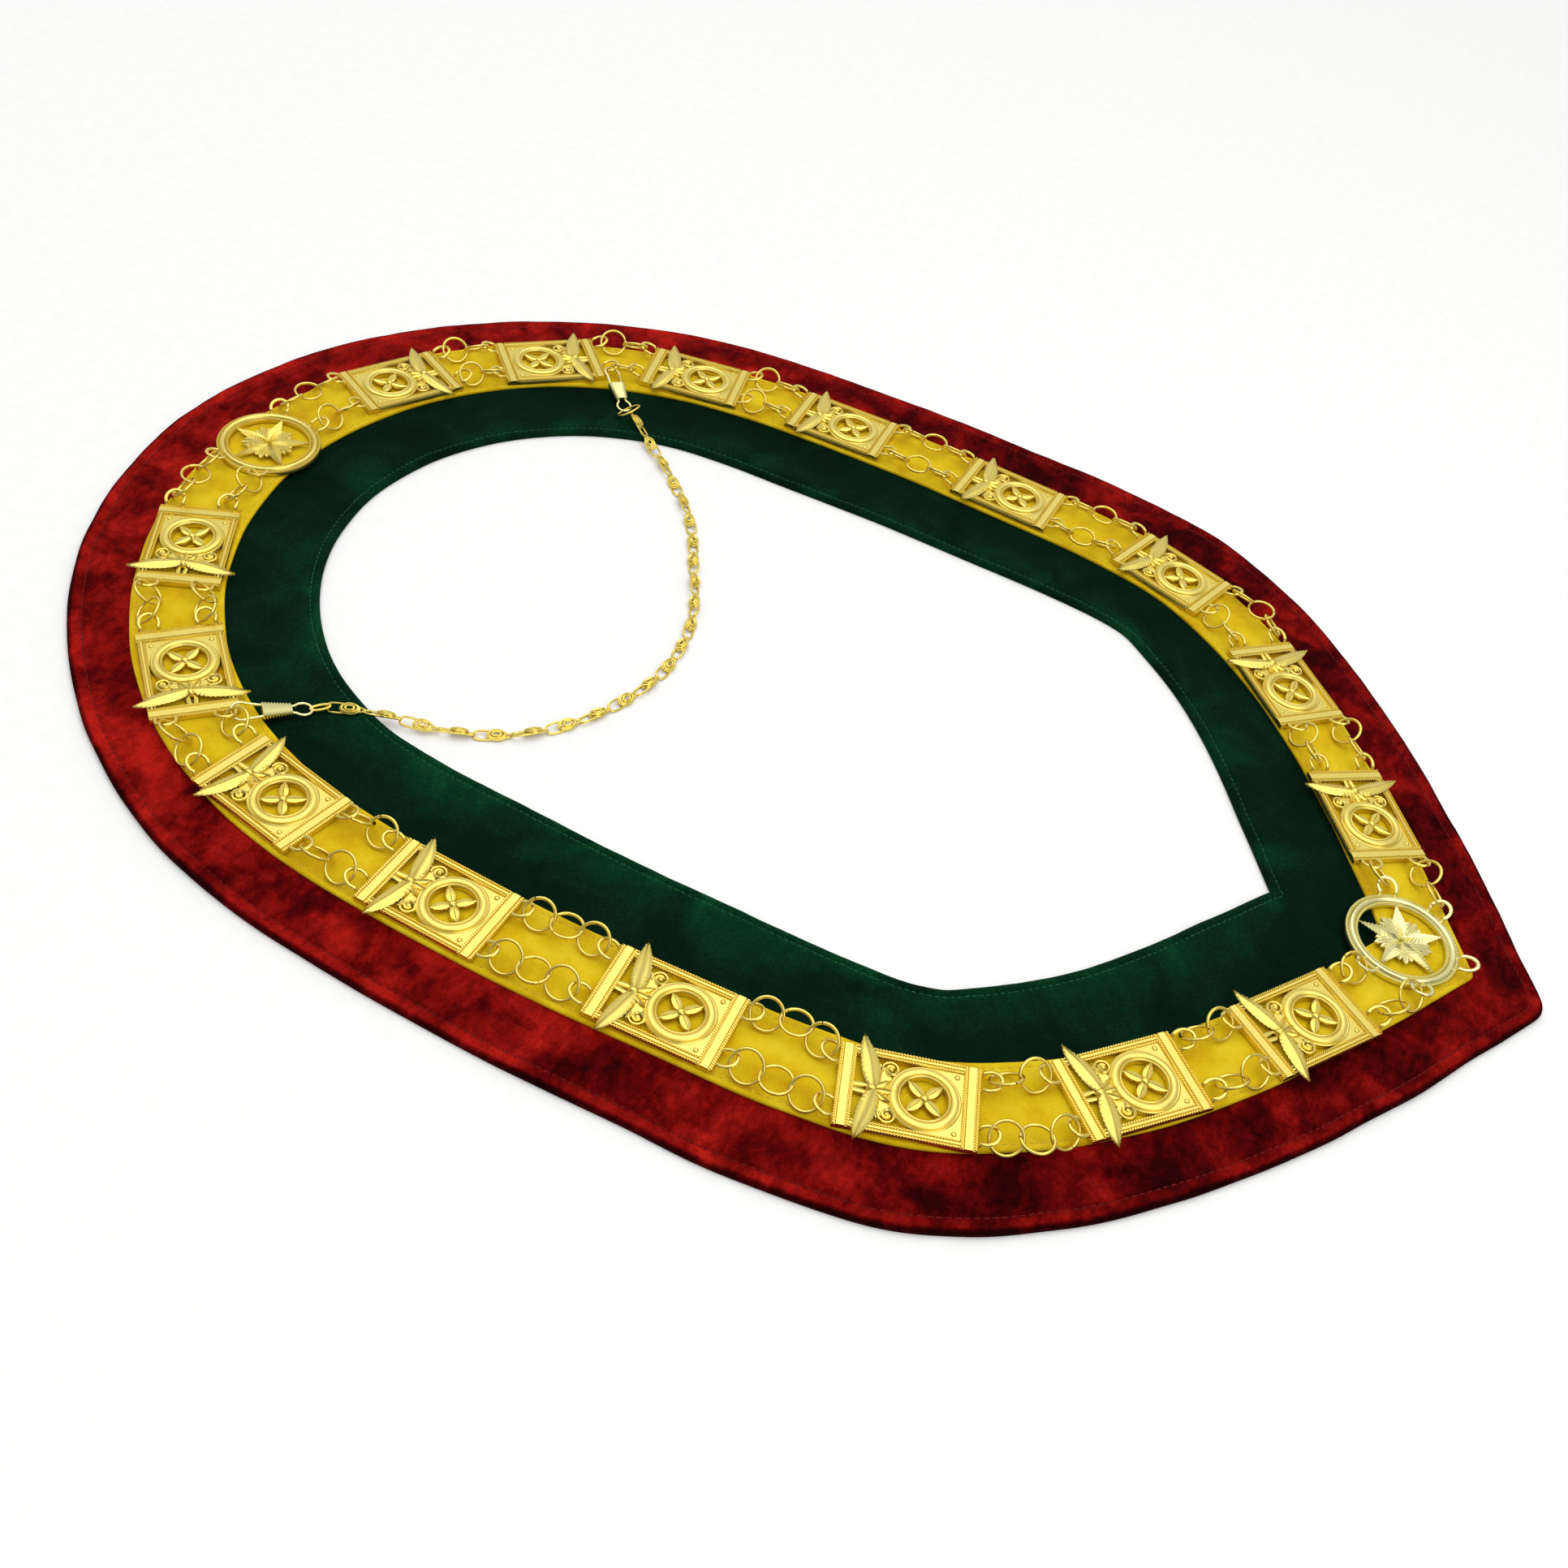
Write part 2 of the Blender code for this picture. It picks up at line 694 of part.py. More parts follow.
def leaning_pitch(room, roll):
    """Returns how far a rolled ring tips up so that its low side drops by no more than the room.

    The room is a share of the ring's radius, measured from the point that the ring hangs by.
    """
    steepness = math.sin(roll) ** 2
    root = math.sqrt(room**2 + steepness**2 - steepness * room**2)
    return math.asin(clamp((root - room) / steepness, 0.0, 1.0))


def clip_loop_centre():
    return SLEEVE_START + SLEEVE_LENGTH + SHANK_RADIUS + LOOP_RADIUS - FUSE_DEPTH


def clip_mesh(flip, with_jump_ring, name):
    origin, forward, side, up = clip_frame(flip)
    rolled = side * math.cos(HOOK_ROLL) - up * math.sin(HOOK_ROLL)
    meshes = [wire_ring(origin + forward * HOOK_CENTRE, forward, rolled, HOOK_RADIUS, HOOK_WIRE, name)]

    sleeve_end = SLEEVE_START + SLEEVE_LENGTH
    shank = (SHANK_RADIUS, SHANK_RADIUS)
    profile = (
        (HOOK_CENTRE + HOOK_RADIUS - FUSE_DEPTH, *shank),
        (SLEEVE_START, *shank),
        (SLEEVE_START + SHANK_RADIUS, SLEEVE_HALF_WIDTH, SLEEVE_HALF_THICKNESS),
        (sleeve_end - SHANK_RADIUS, SLEEVE_HALF_WIDTH * 0.82, SLEEVE_HALF_THICKNESS),
        (sleeve_end, *shank),
        (sleeve_end + SHANK_RADIUS, *shank),
    )
    stations = [
        (origin + forward * along, side * half_width, up * half_height)
        for along, half_width, half_height in profile
    ]
    meshes.append(sweep(stations, round_section(1.0, SLEEVE_SIDES), name))

    loop_centre = clip_loop_centre()
    meshes.append(wire_ring(origin + forward * loop_centre, forward, side, LOOP_RADIUS, LOOP_WIRE, name))
    if with_jump_ring:
        link = origin + forward * (loop_centre + LOOP_RADIUS - LOOP_WIRE - JUMP_RING_WIRE + FUSE_DEPTH)
        room = (link.z - VELVET_THICKNESS - REST_GAP - JUMP_RING_WIRE) / JUMP_RING_RADIUS
        pitch = leaning_pitch(max(room, 0.0), JUMP_RING_ROLL)
        level = forward - UP * forward.z
        level.normalize()
        ahead = level * math.cos(pitch) + UP * math.sin(pitch)
        lift = UP * math.cos(pitch) - level * math.sin(pitch)
        across = side * math.cos(JUMP_RING_ROLL) + lift * math.sin(JUMP_RING_ROLL)
        centre = link + ahead * JUMP_RING_RADIUS
        meshes.append(wire_ring(centre, ahead, across, JUMP_RING_RADIUS, JUMP_RING_WIRE, name))
    return joined(meshes, name)


def add_clips(gilt):
    add_object("clip_right", smooth(clip_mesh(1.0, True, "clip_right")), gilt)
    add_object("clip_left", smooth(clip_mesh(-1.0, False, "clip_left")), gilt)


def neck_chain_ends():
    """Returns the plan places of the neck chain's left and right ends."""
    ends = []
    for flip, (past, aside) in zip((-1.0, 1.0), NECK_CHAIN_ENDS):
        origin, forward, side, _ = clip_frame(flip)
        loop = origin + forward * clip_loop_centre()
        ends.append(loop.xy + forward.xy.normalized() * past + side.xy * aside)
    return ends


def add_neck_chain(gilt):
    """Adds the stretch of fine chain across the neck opening as a plain round length."""
    on_cloth = VELVET_THICKNESS + REST_GAP + NECK_CHAIN_RADIUS
    on_floor = NECK_CHAIN_RADIUS
    first, last = NECK_CHAIN_ON_FLOOR
    left, right = neck_chain_ends()
    way = right - left
    rows = []
    for k, (across, drop) in enumerate(NECK_CHAIN_ROUTE):
        place = left + way * across - Vector((0.0, way.x * drop))
        rows.append((*place, on_floor if first <= k <= last else on_cloth))
    before = [2.0 * a - b for a, b in zip(rows[0], rows[1])]
    after = [2.0 * a - b for a, b in zip(rows[-1], rows[-2])]
    path = [
        (x, y, max(z, on_floor)) for x, y, z in smooth_rows(rows, before, after, NECK_CHAIN_STEPS)
    ]
    curve = bpy.data.curves.new("neck_chain", "CURVE")
    curve.dimensions = "3D"
    curve.bevel_depth = NECK_CHAIN_RADIUS
    curve.bevel_resolution = 2
    curve.use_fill_caps = True
    spline = curve.splines.new("POLY")
    spline.points.add(len(path) - 1)
    for point, place in zip(spline.points, path):
        point.co = (*place, 1.0)
    add_object("neck_chain", curve, gilt)


def main():
    clear_scene()
    gilt = finish("gilt_metal", (0.86, 0.66, 0.20), 0.28, 1.0)
    add_cloth()
    add_plates(gilt)
    add_strands(gilt)
    add_clips(gilt)
    add_neck_chain(gilt)


main()
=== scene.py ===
"""The looks of a chain collar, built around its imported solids.

Gilt plates, medallions and rings lie on a felt ribbon over two velvet bands, with a fine neck chain
on two snap clips. Metres, +Z up, the pointed front towards -Y, in the same frame as the solids.
"""

import math
import random

import bmesh
import bpy
import numpy as np
from mathutils import Matrix, Vector, noise


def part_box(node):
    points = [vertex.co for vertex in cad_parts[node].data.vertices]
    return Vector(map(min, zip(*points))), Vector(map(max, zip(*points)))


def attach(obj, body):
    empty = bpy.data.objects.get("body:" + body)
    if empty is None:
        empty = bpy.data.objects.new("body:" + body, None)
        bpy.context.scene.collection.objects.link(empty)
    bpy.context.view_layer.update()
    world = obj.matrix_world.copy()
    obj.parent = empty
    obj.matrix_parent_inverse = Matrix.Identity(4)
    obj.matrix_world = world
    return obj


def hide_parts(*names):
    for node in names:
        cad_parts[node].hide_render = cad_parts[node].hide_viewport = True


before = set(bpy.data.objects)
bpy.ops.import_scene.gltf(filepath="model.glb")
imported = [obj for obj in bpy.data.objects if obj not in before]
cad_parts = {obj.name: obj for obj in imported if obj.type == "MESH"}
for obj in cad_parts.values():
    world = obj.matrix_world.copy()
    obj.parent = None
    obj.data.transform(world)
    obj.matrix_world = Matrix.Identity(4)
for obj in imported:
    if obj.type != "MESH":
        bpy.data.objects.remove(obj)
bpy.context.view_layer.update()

MM = 0.001
AHEAD = Vector((1.0, 0.0, 0.0))
ACROSS = Vector((0.0, 1.0, 0.0))
UP = Vector((0.0, 0.0, 1.0))
FULL_TURN = 2.0 * math.pi
random.seed(7)

# Camera, as the photograph was taken: 38 mm lens on a 36 mm sensor
CAMERA_PLACE = Vector((-0.4511, -0.1284, 0.4300))
CAMERA_LOOK = Vector((0.6697, 0.1917, -0.7175))
CAMERA_UP = Vector((0.6116, 0.4056, 0.6793))
LENS = 38.10

# Levels of the layers, from the solids
VELVET_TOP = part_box("red_velvet_band")[1].z
FELT_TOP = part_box("yellow_felt_ribbon")[1].z
METAL_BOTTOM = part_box("plate_right_1")[0].z

# Sizes that the solids have too
PLATE_LENGTH = 45.0 * MM
PLATE_WIDTH = 30.0 * MM
END_BAR = 5.4 * MM
SIDE_BAR = 3.0 * MM
ROUNDEL_BAND = 4.1 * MM
ROUNDEL_MARGIN = 0.4 * MM
LEAF_OVERHANG = 4.5 * MM
LEAF_GAP = 2.6 * MM
MEDALLION_RADIUS = 20.5 * MM
MEDALLION_RIM = 4.6 * MM
MEDALLION_SIDES = 16
LONG_RAYS = 5
MEDALLION_EYE_ANGLE = math.radians(26.0)
EYE_SPREAD = 9.8 * MM
EYE_REACH = 2.6 * MM
EYE_HEIGHT = 3.75 * MM
EYE_HALF_WIDTH = 3.7 * MM
EYE_STRIP = 1.4 * MM
EYE_STRIP_THICKNESS = 1.1 * MM
EYE_TILT = math.radians(18.0)
EYE_SWEEP = math.radians(236.0)
EYE_Z = METAL_BOTTOM + EYE_HEIGHT

# Castings of the plates and medallions
BORDER_TOP = 1.85 * MM
TOOTH_PITCH = 0.95 * MM
TOOTH_HEIGHT = 0.45 * MM
HALF_LENGTH = PLATE_LENGTH / 2.0
HALF_WIDTH = PLATE_WIDTH / 2.0
BAR_EDGE = HALF_LENGTH - END_BAR
ROUNDEL = HALF_WIDTH - SIDE_BAR - ROUNDEL_MARGIN  # radius of the round moulding
WINDOW = ROUNDEL - ROUNDEL_BAND  # radius of the opening inside it
ROUNDEL_MIDDLE = Vector((BAR_EDGE - ROUNDEL - ROUNDEL_MARGIN, 0.0, 0.0))
KNOT = Vector((-BAR_EDGE + LEAF_GAP + SIDE_BAR, 0.0, 0.0))  # where the spray's leaves are tied
LONG_RAY_HALF_WIDTH = 2.9 * MM
LONG_RAY_WIDEST_AT = 6.4 * MM
LONG_RAY_RIBS = 15
SHORT_RAY_LENGTH = 10.8 * MM
SHORT_RAY_HALF_WIDTH = 3.1 * MM
SATIN, BRIGHT = 0, 1  # the two finishes of a casting

# Rings, as in the solids
FUSE_DEPTH = 0.3 * MM
RING_RADIUS = 5.35 * MM
RING_WIRE = 0.575 * MM
RING_ROLL = math.radians(41.0)
LONE_RING_ROLL = math.radians(38.0)
MIDDLE_RING_ROLL = math.radians(5.0)
RING_PLAY = (-1.2 * MM, 1.1 * MM)
LOOSE_PLAY = 0.5 * MM
STRAND_TURN = math.radians(18.0)
RING_SPLIT = math.radians(1.6)  # half the angle of the cut where a ring's wire ends meet

# Snap clips, as in the solids
CLIP_PLATE = 7
CLIP_PITCH = math.radians(8.6)
HOOK_CENTRE = 5.15 * MM
HOOK_RADIUS = 3.5 * MM
HOOK_WIRE = 0.55 * MM
HOOK_ROLL = math.radians(18.0)
HOOK_SWEEP = math.radians(236.0)
SLEEVE_START = 12.2 * MM
SLEEVE_LENGTH = 10.0 * MM
SLEEVE_HALF_WIDTH = 4.0 * MM
SLEEVE_HALF_THICKNESS = 1.8 * MM
SLEEVE_TURNS = 10
SLEEVE_WAVE = 0.30 * MM  # how deep the windings of the sleeve's wire show
SHANK_RADIUS = 1.0 * MM
LOOP_RADIUS = 3.2 * MM
LOOP_WIRE = 0.7 * MM
LOOP_SWEEP = math.radians(280.0)
LOOP_CENTRE = SLEEVE_START + SLEEVE_LENGTH + SHANK_RADIUS + LOOP_RADIUS - FUSE_DEPTH
JUMP_RING_RADIUS = 5.2 * MM
JUMP_RING_WIRE = 0.5 * MM
JUMP_RING_ROLL = math.radians(22.0)

# Neck chain: the solid's route, as shares of the way between its ends, and its links
NECK_CHAIN_ROUTE = (
    # across, drop
    (0.000, 0.000), (0.031, 0.091), (0.074, 0.199), (0.145, 0.295), (0.269, 0.365),
    (0.412, 0.391), (0.555, 0.363), (0.688, 0.292), (0.812, 0.214), (0.912, 0.116),
    (1.000, 0.000),
)
NECK_CHAIN_ENDS = ((11.2 * MM, 0.8 * MM), (21.2 * MM, 3.4 * MM))
NECK_CHAIN_ON_FLOOR = (2, 9)
NECK_CHAIN_RADIUS = 2.25 * MM
LINK_PITCH = 12.9 * MM
LINK_WIDTH = 4.9 * MM
LINK_WIRE = 0.45 * MM
LINK_OVERLAP = 2.8 * LINK_WIRE
LINK_LEAN = (12.0, 32.0)  # degrees to one side, at the least and at the most
KNOT_LENGTH = 6.6 * MM
KNOT_WIDTH = 3.9 * MM
PLAIN_LINK_HALF_WIDTH = 1.2 * MM
PLAIN_LINK_WIRE = 0.5 * MM
CHAIN_EXTENSION = 3.0 * MM  # from the solid's left end towards the clip

# Outlines of the cloth
LOOP_STEPS = 42  # stations between two stations of the solids
CORNER_ROUNDING = 6.5 * MM  # at the point of the red band
GREEN_ROUNDING = 2.0 * MM
FELT_ROUNDING = 1.5 * MM
NECK_CORNER = (108.0 * MM, -99.0 * MM)  # where the neck opening starts to narrow, on either side
NECK_CORNER_PULL = 2.6 * MM
NECK_CORNER_REACH = 13.0 * MM
COLLAR_REACH = 250.0 * MM  # from the middle of the collar to its edges, about
EDGE_RIPPLE = 24.0 * MM

# Seams, and the uneven face of the velvet
RED_SEAM = 5.0 * MM  # topstitching, inside the outer edge
GREEN_SEAM = 3.5 * MM  # topstitching, inside the inner edge
FELT_SEAM = 2.3 * MM  # stitching, inside the felt's edges
RED_STITCH = 2.9 * MM
GREEN_STITCH = 2.6 * MM
FELT_STITCH = 3.2 * MM
RED_THREAD = 0.24 * MM  # radius
GREEN_THREAD = 0.23 * MM
FELT_THREAD = 0.2 * MM
SEAM_LEVEL = 0.78  # of the thickness, where the thread pulls the face in
LOOSE_EDGE = 26.0 * MM  # how far inside its free edge the cloth lifts in waves
LOOSE_WAVE = 55.0 * MM
RED_LIFT = 1.1 * MM
GREEN_LIFT = 0.5 * MM
PUCKER, PUCKER_REACH = 0.16 * MM, 1.3 * MM  # at each stitch
GATHER, GATHER_REACH, GATHER_SIZE = 0.14 * MM, 3.5 * MM, 3.2 * MM  # along the seam
CRUSH, CRUSH_SIZE = 0.22 * MM, 9.0 * MM  # all over the face
FELT_LUMPS = ((0.07 * MM, 7.0 * MM), (0.05 * MM, 2.5 * MM))  # height and size
PILE_GRAIN = 0.9 * MM  # size of the tufts that catch the light


def linear(code):
    """Turns an sRGB hex colour into linear light."""
    channels = [int(code[k : k + 2], 16) / 255.0 for k in (1, 3, 5)]
    lit = [c / 12.92 if c <= 0.04045 else ((c + 0.055) / 1.055) ** 2.4 for c in channels]
    return (*lit, 1.0)


def fill_sockets(tree, item, sockets):
    """Puts a value, an output or a node's first output on each named socket."""
    for name, value in sockets.items():
        if isinstance(value, bpy.types.Node):
            value = value.outputs[0]
        if isinstance(value, bpy.types.NodeSocket):
            tree.links.new(value, item.inputs[name])
        else:
            item.inputs[name].default_value = value


def add_node(tree, kind, sockets, stops=(), **settings):
    """Adds a node with its settings, what fills its sockets, and the stops of its colours."""
    item = tree.nodes.new("ShaderNode" + kind)
    for name, value in settings.items():
        setattr(item, name, value)
    fill_sockets(tree, item, sockets)
    if stops:
        elements = item.color_ramp.elements
        while len(elements) < len(stops):
            elements.new(0.5)
        for element, (position, colour) in zip(elements, stops):
            element.position = position
            element.color = linear(colour)
    return item


def blank_material(name):
    """Returns a new material, its node tree, its shader and the place on the piece."""
    material = bpy.data.materials.new(name)
    material.use_nodes = True
    tree = material.node_tree
    place = add_node(tree, "TexCoord", {}).outputs["Object"]
    return material, tree, tree.nodes["Principled BSDF"], place


def gilt_brass(name, dark, light, roughness, grain, depth):
    """Cast brass plated in pale gilt. The plating gives a lemon gloss over the casting's fine grain."""
    material, tree, shader, place = blank_material(name)
    casting = add_node(tree, "TexNoise", {
        "Vector": place, "Scale": 1.0 / grain, "Detail": 4.0, "Roughness": 0.6})
    handling = add_node(tree, "TexNoise", {
        "Vector": place, "Scale": 1.0 / (9.0 * MM), "Detail": 3.0, "Roughness": 0.55})
    tone = add_node(tree, "Mix", {0: handling, 6: linear(dark), 7: linear(light)}, data_type="RGBA")
    gloss = add_node(tree, "MapRange", {
        "Value": casting, "From Min": 0.3, "From Max": 0.7, "To Min": roughness * 0.9,
        "To Max": roughness * 1.1})
    bump = add_node(tree, "Bump", {"Strength": 1.0, "Distance": depth, "Height": casting})
    fill_sockets(tree, shader, {
        "Base Color": tone.outputs[2], "Roughness": gloss, "Normal": bump, "Metallic": 1.0})
    return material


def crushed_velvet():
    """Crushed rayon velvet. Its pile lies pressed in patches, which pool in bright and near-black red."""
    material, tree, shader, place = blank_material("crushed_red_velvet")
    swirl = add_node(tree, "TexNoise", {"Vector": place, "Scale": 1.0 / (20.0 * MM), "Detail": 3.0})
    drift = add_node(tree, "VectorMath", {
        0: swirl.outputs["Color"], 1: (0.5, 0.5, 0.5)}, operation="SUBTRACT")
    pushed = add_node(tree, "VectorMath", {
        0: drift, 1: (0.022, 0.022, 0.022), 2: place}, operation="MULTIPLY_ADD")
    pools = add_node(tree, "TexNoise", {
        "Vector": pushed, "Scale": 1.0 / (25.0 * MM), "Detail": 8.0, "Roughness": 0.65})
    brushed = add_node(tree, "Mapping", {
        "Vector": place, "Rotation": (0.0, 0.0, math.radians(38.0)), "Scale": (1.0, 2.4, 1.0)})
    strokes = add_node(tree, "TexNoise", {
        "Vector": brushed, "Scale": 1.0 / (8.0 * MM), "Detail": 5.0, "Roughness": 0.7})
    # Painted sheen: the velvet is painted lighter towards the back and the left, where it catches the
    # light
    back = add_node(tree, "VectorMath", {0: place, 1: (-0.3, 1.0, 0.0)}, operation="DOT_PRODUCT")
    painted_sheen_side = add_node(tree, "MapRange", {
        "Value": back.outputs["Value"], "From Min": -0.14, "From Max": 0.06, "To Min": 0.03,
        "To Max": 0.145})
    # The fold at the edge is painted darker, and the hem beside it lighter
    edge = add_node(tree, "Attribute", {}, attribute_name="from_edge").outputs["Fac"]
    fold = add_node(tree, "MapRange", {
        "Value": edge, "From Min": 0.3, "From Max": 1.9, "To Min": -0.25, "To Max": 0.0})
    hem = RED_SEAM / MM
    facing = add_node(tree, "MapRange", {
        "Value": edge, "From Min": hem - 0.2, "From Max": hem + 0.2, "To Min": 1.0, "To Max": 0.0})
    mixed = add_node(tree, "Math", {0: strokes, 1: 0.30, 2: pools}, operation="MULTIPLY_ADD")
    # Adds the painted sheen to the pattern
    tone_with_painted_sheen = add_node(tree, "Math", {0: mixed, 1: painted_sheen_side}, operation="ADD")
    raised = add_node(tree, "Math", {0: facing, 1: 0.06, 2: tone_with_painted_sheen}, operation="MULTIPLY_ADD")
    turned = add_node(tree, "Math", {0: raised, 1: fold}, operation="ADD")
    reds = [(0.48, "#1C0002"), (0.60, "#320103"), (0.71, "#5A0405"), (0.83, "#86100C"), (0.96, "#B01C14")]
    colour = add_node(tree, "ValToRGB", {"Fac": turned}, reds)
    pile = add_node(tree, "TexNoise", {
        "Vector": place, "Scale": 1.0 / PILE_GRAIN, "Detail": 3.0, "Roughness": 0.7})
    speckled = add_node(tree, "MapRange", {
        "Value": pile, "From Min": 0.25, "From Max": 0.75, "To Min": 0.72, "To Max": 1.28})
    shade = add_node(tree, "VectorMath", {0: colour, "Scale": speckled}, operation="SCALE")
    bump = add_node(tree, "Bump", {"Strength": 0.8, "Distance": 0.5 * MM, "Height": pile})
    creased = add_node(tree, "Bump", {
        "Strength": 0.6, "Distance": 1.6 * MM, "Height": mixed, "Normal": bump})
    fill_sockets(tree, shader, {
        "Base Color": shade, "Normal": creased, "Roughness": 0.85, "Specular IOR Level": 0.02,
        "Sheen Weight": 0.05, "Sheen Roughness": 0.4, "Sheen Tint": linear("#A8140C")})
    return material


def plain_velvet():
    """Short-pile cotton velvet, very dark green, with the pile brushed lighter towards the edge."""
    material, tree, shader, place = blank_material("dark_green_velvet")
    clouds = add_node(tree, "TexNoise", {
        "Vector": place, "Scale": 1.0 / (26.0 * MM), "Detail": 5.0, "Roughness": 0.6, "Distortion": 0.6})
    pile = add_node(tree, "TexNoise", {
        "Vector": place, "Scale": 1.0 / PILE_GRAIN, "Detail": 3.0, "Roughness": 0.7})
    edge = add_node(tree, "Attribute", {}, attribute_name="from_edge").outputs["Fac"]
    nap = add_node(tree, "MapRange", {
        "Value": edge, "From Min": 4.0, "From Max": 22.0, "To Min": 0.70, "To Max": 0.47})
    # Painted sheen: the velvet is painted lighter towards -X, the side that catches the light
    left = add_node(tree, "VectorMath", {0: place, 1: (-1.0, 0.0, 0.0)}, operation="DOT_PRODUCT")
    tone_with_painted_sheen = add_node(tree, "MapRange", {
        "Value": left.outputs["Value"], "From Min": 0.0, "From Max": 0.1, "To Min": 0.24, "To Max": 0.29})
    brushed = add_node(tree, "Math", {0: clouds, 1: nap, 2: tone_with_painted_sheen}, operation="MULTIPLY_ADD")
    speckled = add_node(tree, "Math", {0: pile, 1: 0.35, 2: brushed}, operation="MULTIPLY_ADD")
    greens = [(0.50, "#010E07"), (0.70, "#031C10"), (0.85, "#05301A"), (1.0, "#0A4C26")]
    colour = add_node(tree, "ValToRGB", {"Fac": speckled}, greens)
    bump = add_node(tree, "Bump", {"Strength": 0.8, "Distance": 0.4 * MM, "Height": pile})
    fill_sockets(tree, shader, {
        "Base Color": colour, "Normal": bump, "Roughness": 0.9, "Specular IOR Level": 0.04,
        "Sheen Weight": 0.05, "Sheen Roughness": 0.4, "Sheen Tint": linear("#2F9A5C")})
    return material


def wool_felt():
    """Pressed wool felt, bright yellow. Its matted fibres give a soft, faintly mottled face."""
    material, tree, shader, place = blank_material("yellow_wool_felt")
    matted = add_node(tree, "TexNoise", {
        "Vector": place, "Scale": 1.0 / (0.8 * MM), "Detail": 5.0, "Roughness": 0.75, "Distortion": 1.2})
    patches = add_node(tree, "TexNoise", {"Vector": place, "Scale": 1.0 / (11.0 * MM), "Detail": 3.0})
    mixed = add_node(tree, "Math", {0: matted, 1: 0.6, 2: patches}, operation="MULTIPLY_ADD")
    yellows = [(0.5, "#CC9C04"), (0.8, "#E0BE10"), (1.0, "#EACC24")]
    colour = add_node(tree, "ValToRGB", {"Fac": mixed}, yellows)
    bump = add_node(tree, "Bump", {"Strength": 0.7, "Distance": 0.35 * MM, "Height": matted})
    fill_sockets(tree, shader, {
        "Base Color": colour, "Normal": bump, "Roughness": 0.95, "Specular IOR Level": 0.15,
        "Sheen Weight": 0.08, "Sheen Roughness": 0.5, "Sheen Tint": linear("#FFE870")})
    return material


def sewing_thread(name, dark, light):
    """Spun polyester thread. Its two plies give each stitch a lighter and a darker stripe."""
    material, tree, shader, place = blank_material(name)
    twist = add_node(tree, "TexNoise", {"Vector": place, "Scale": 1.0 / (0.6 * MM), "Detail": 2.0})
    colour = add_node(tree, "ValToRGB", {"Fac": twist}, [(0.35, dark), (0.65, light)])
    fill_sockets(tree, shader, {"Base Color": colour, "Roughness": 0.7, "Specular IOR Level": 0.2})
    return material


def table_board():
    """Matt white laminate board. It lights the collar from below and takes soft contact shadows."""
    material, tree, shader, place = blank_material("white_board")
    grain = add_node(tree, "TexNoise", {"Vector": place, "Scale": 1.0 / (6.0 * MM), "Detail": 3.0})
    colour = add_node(tree, "ValToRGB", {"Fac": grain}, [(0.3, "#F7F7F6"), (0.7, "#FAFAF9")])
    fill_sockets(tree, shader, {"Base Color": colour, "Roughness": 0.8, "Specular IOR Level": 0.2})
    return material


class Casting:
    """Collects the closed parts of one piece: corners, faces and the finish of each face."""

    def __init__(self):
        self.points = []
        self.faces = []
        self.finishes = []

    def skin(self, rows, finish=0, ring=False):
        """Adds a skin over rows of closed sections, capped at both ends unless it runs in a ring."""
        first = len(self.points)
        count = len(rows[0])
        for row in rows:
            self.points.extend(tuple(point) for point in row)
        added = []
        for j in range(len(rows) if ring else len(rows) - 1):
            here = first + j * count
            after = first + (j + 1) % len(rows) * count
            for k in range(count):
                following = (k + 1) % count
                added.append((here + k, here + following, after + following, after + k))
        if not ring:
            last = first + (len(rows) - 1) * count
            added.append(tuple(first + k for k in reversed(range(count))))
            added.append(tuple(last + k for k in range(count)))
        self.faces += added
        self.finishes += [finish] * len(added)

    def mesh(self, name, materials, sharp=40.0):
        """Returns the parts as one mesh, shaded smooth up to an angle in degrees."""
        mesh = bpy.data.meshes.new(name)
        mesh.from_pydata(self.points, [], self.faces)
        bm = bmesh.new()
        bm.from_mesh(mesh)
        bmesh.ops.recalc_face_normals(bm, faces=bm.faces)
        bm.to_mesh(mesh)
        bm.free()
        for material in materials:
            mesh.materials.append(material)
        mesh.polygons.foreach_set("material_index", self.finishes)
        mesh.shade_smooth()
        mesh.set_sharp_from_angle(angle=math.radians(sharp))
        return mesh


def add_object(name, data):
    """Returns a new object in the scene."""
    item = bpy.data.objects.new(name, data)
    bpy.context.collection.objects.link(item)
    return item


def add_piece(name, mesh, nodes, place=None):
    """Adds a piece that stands for the named solids, under the root, and hides those solids."""
    piece = add_object(name, mesh)
    if place is not None:
        piece.matrix_world = place
    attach(piece, "root")
    if nodes:
        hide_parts(*nodes)
    return piece


def clamp(value, low, high):
    return max(low, min(high, value))


def mm(x, y=0.0, z=0.0):
    """Returns a vector of sizes in millimetres."""
    return Vector((x, y, z)) * MM


def level(plan):
    """Returns a place or direction in plan as a vector in space."""
    return Vector((*plan, 0.0))


def out_at(turn):
    """Returns the level direction at an angle from +X."""
    return Vector((math.cos(turn), math.sin(turn), 0.0))


def tipped_up(plan, pitch):
    """Returns a level direction tipped up by an angle, and the direction square above it."""
    rise = math.sin(pitch)
    run = math.cos(pitch)
    return plan * run + UP * rise, UP * run - plan * rise


def squared(value, power):
    """Returns a sine or cosine drawn towards one, which squares an oval."""
    return math.copysign(abs(value) ** power, value)


def arc(centre, forward, side, reach, spread, start, end, steps):
    """Returns places along an oval arc in the plane of forward and side, with both its ends."""
    path = []
    for k in range(steps + 1):
        turn = start + (end - start) * k / steps
        path.append(centre + forward * reach * math.cos(turn) + side * spread * math.sin(turn))
    return path


def oval(centre, forward, side, reach, spread, steps):
    """Returns places round a whole oval, each once."""
    return arc(centre, forward, side, reach, spread, 0.0, FULL_TURN, steps)[:-1]


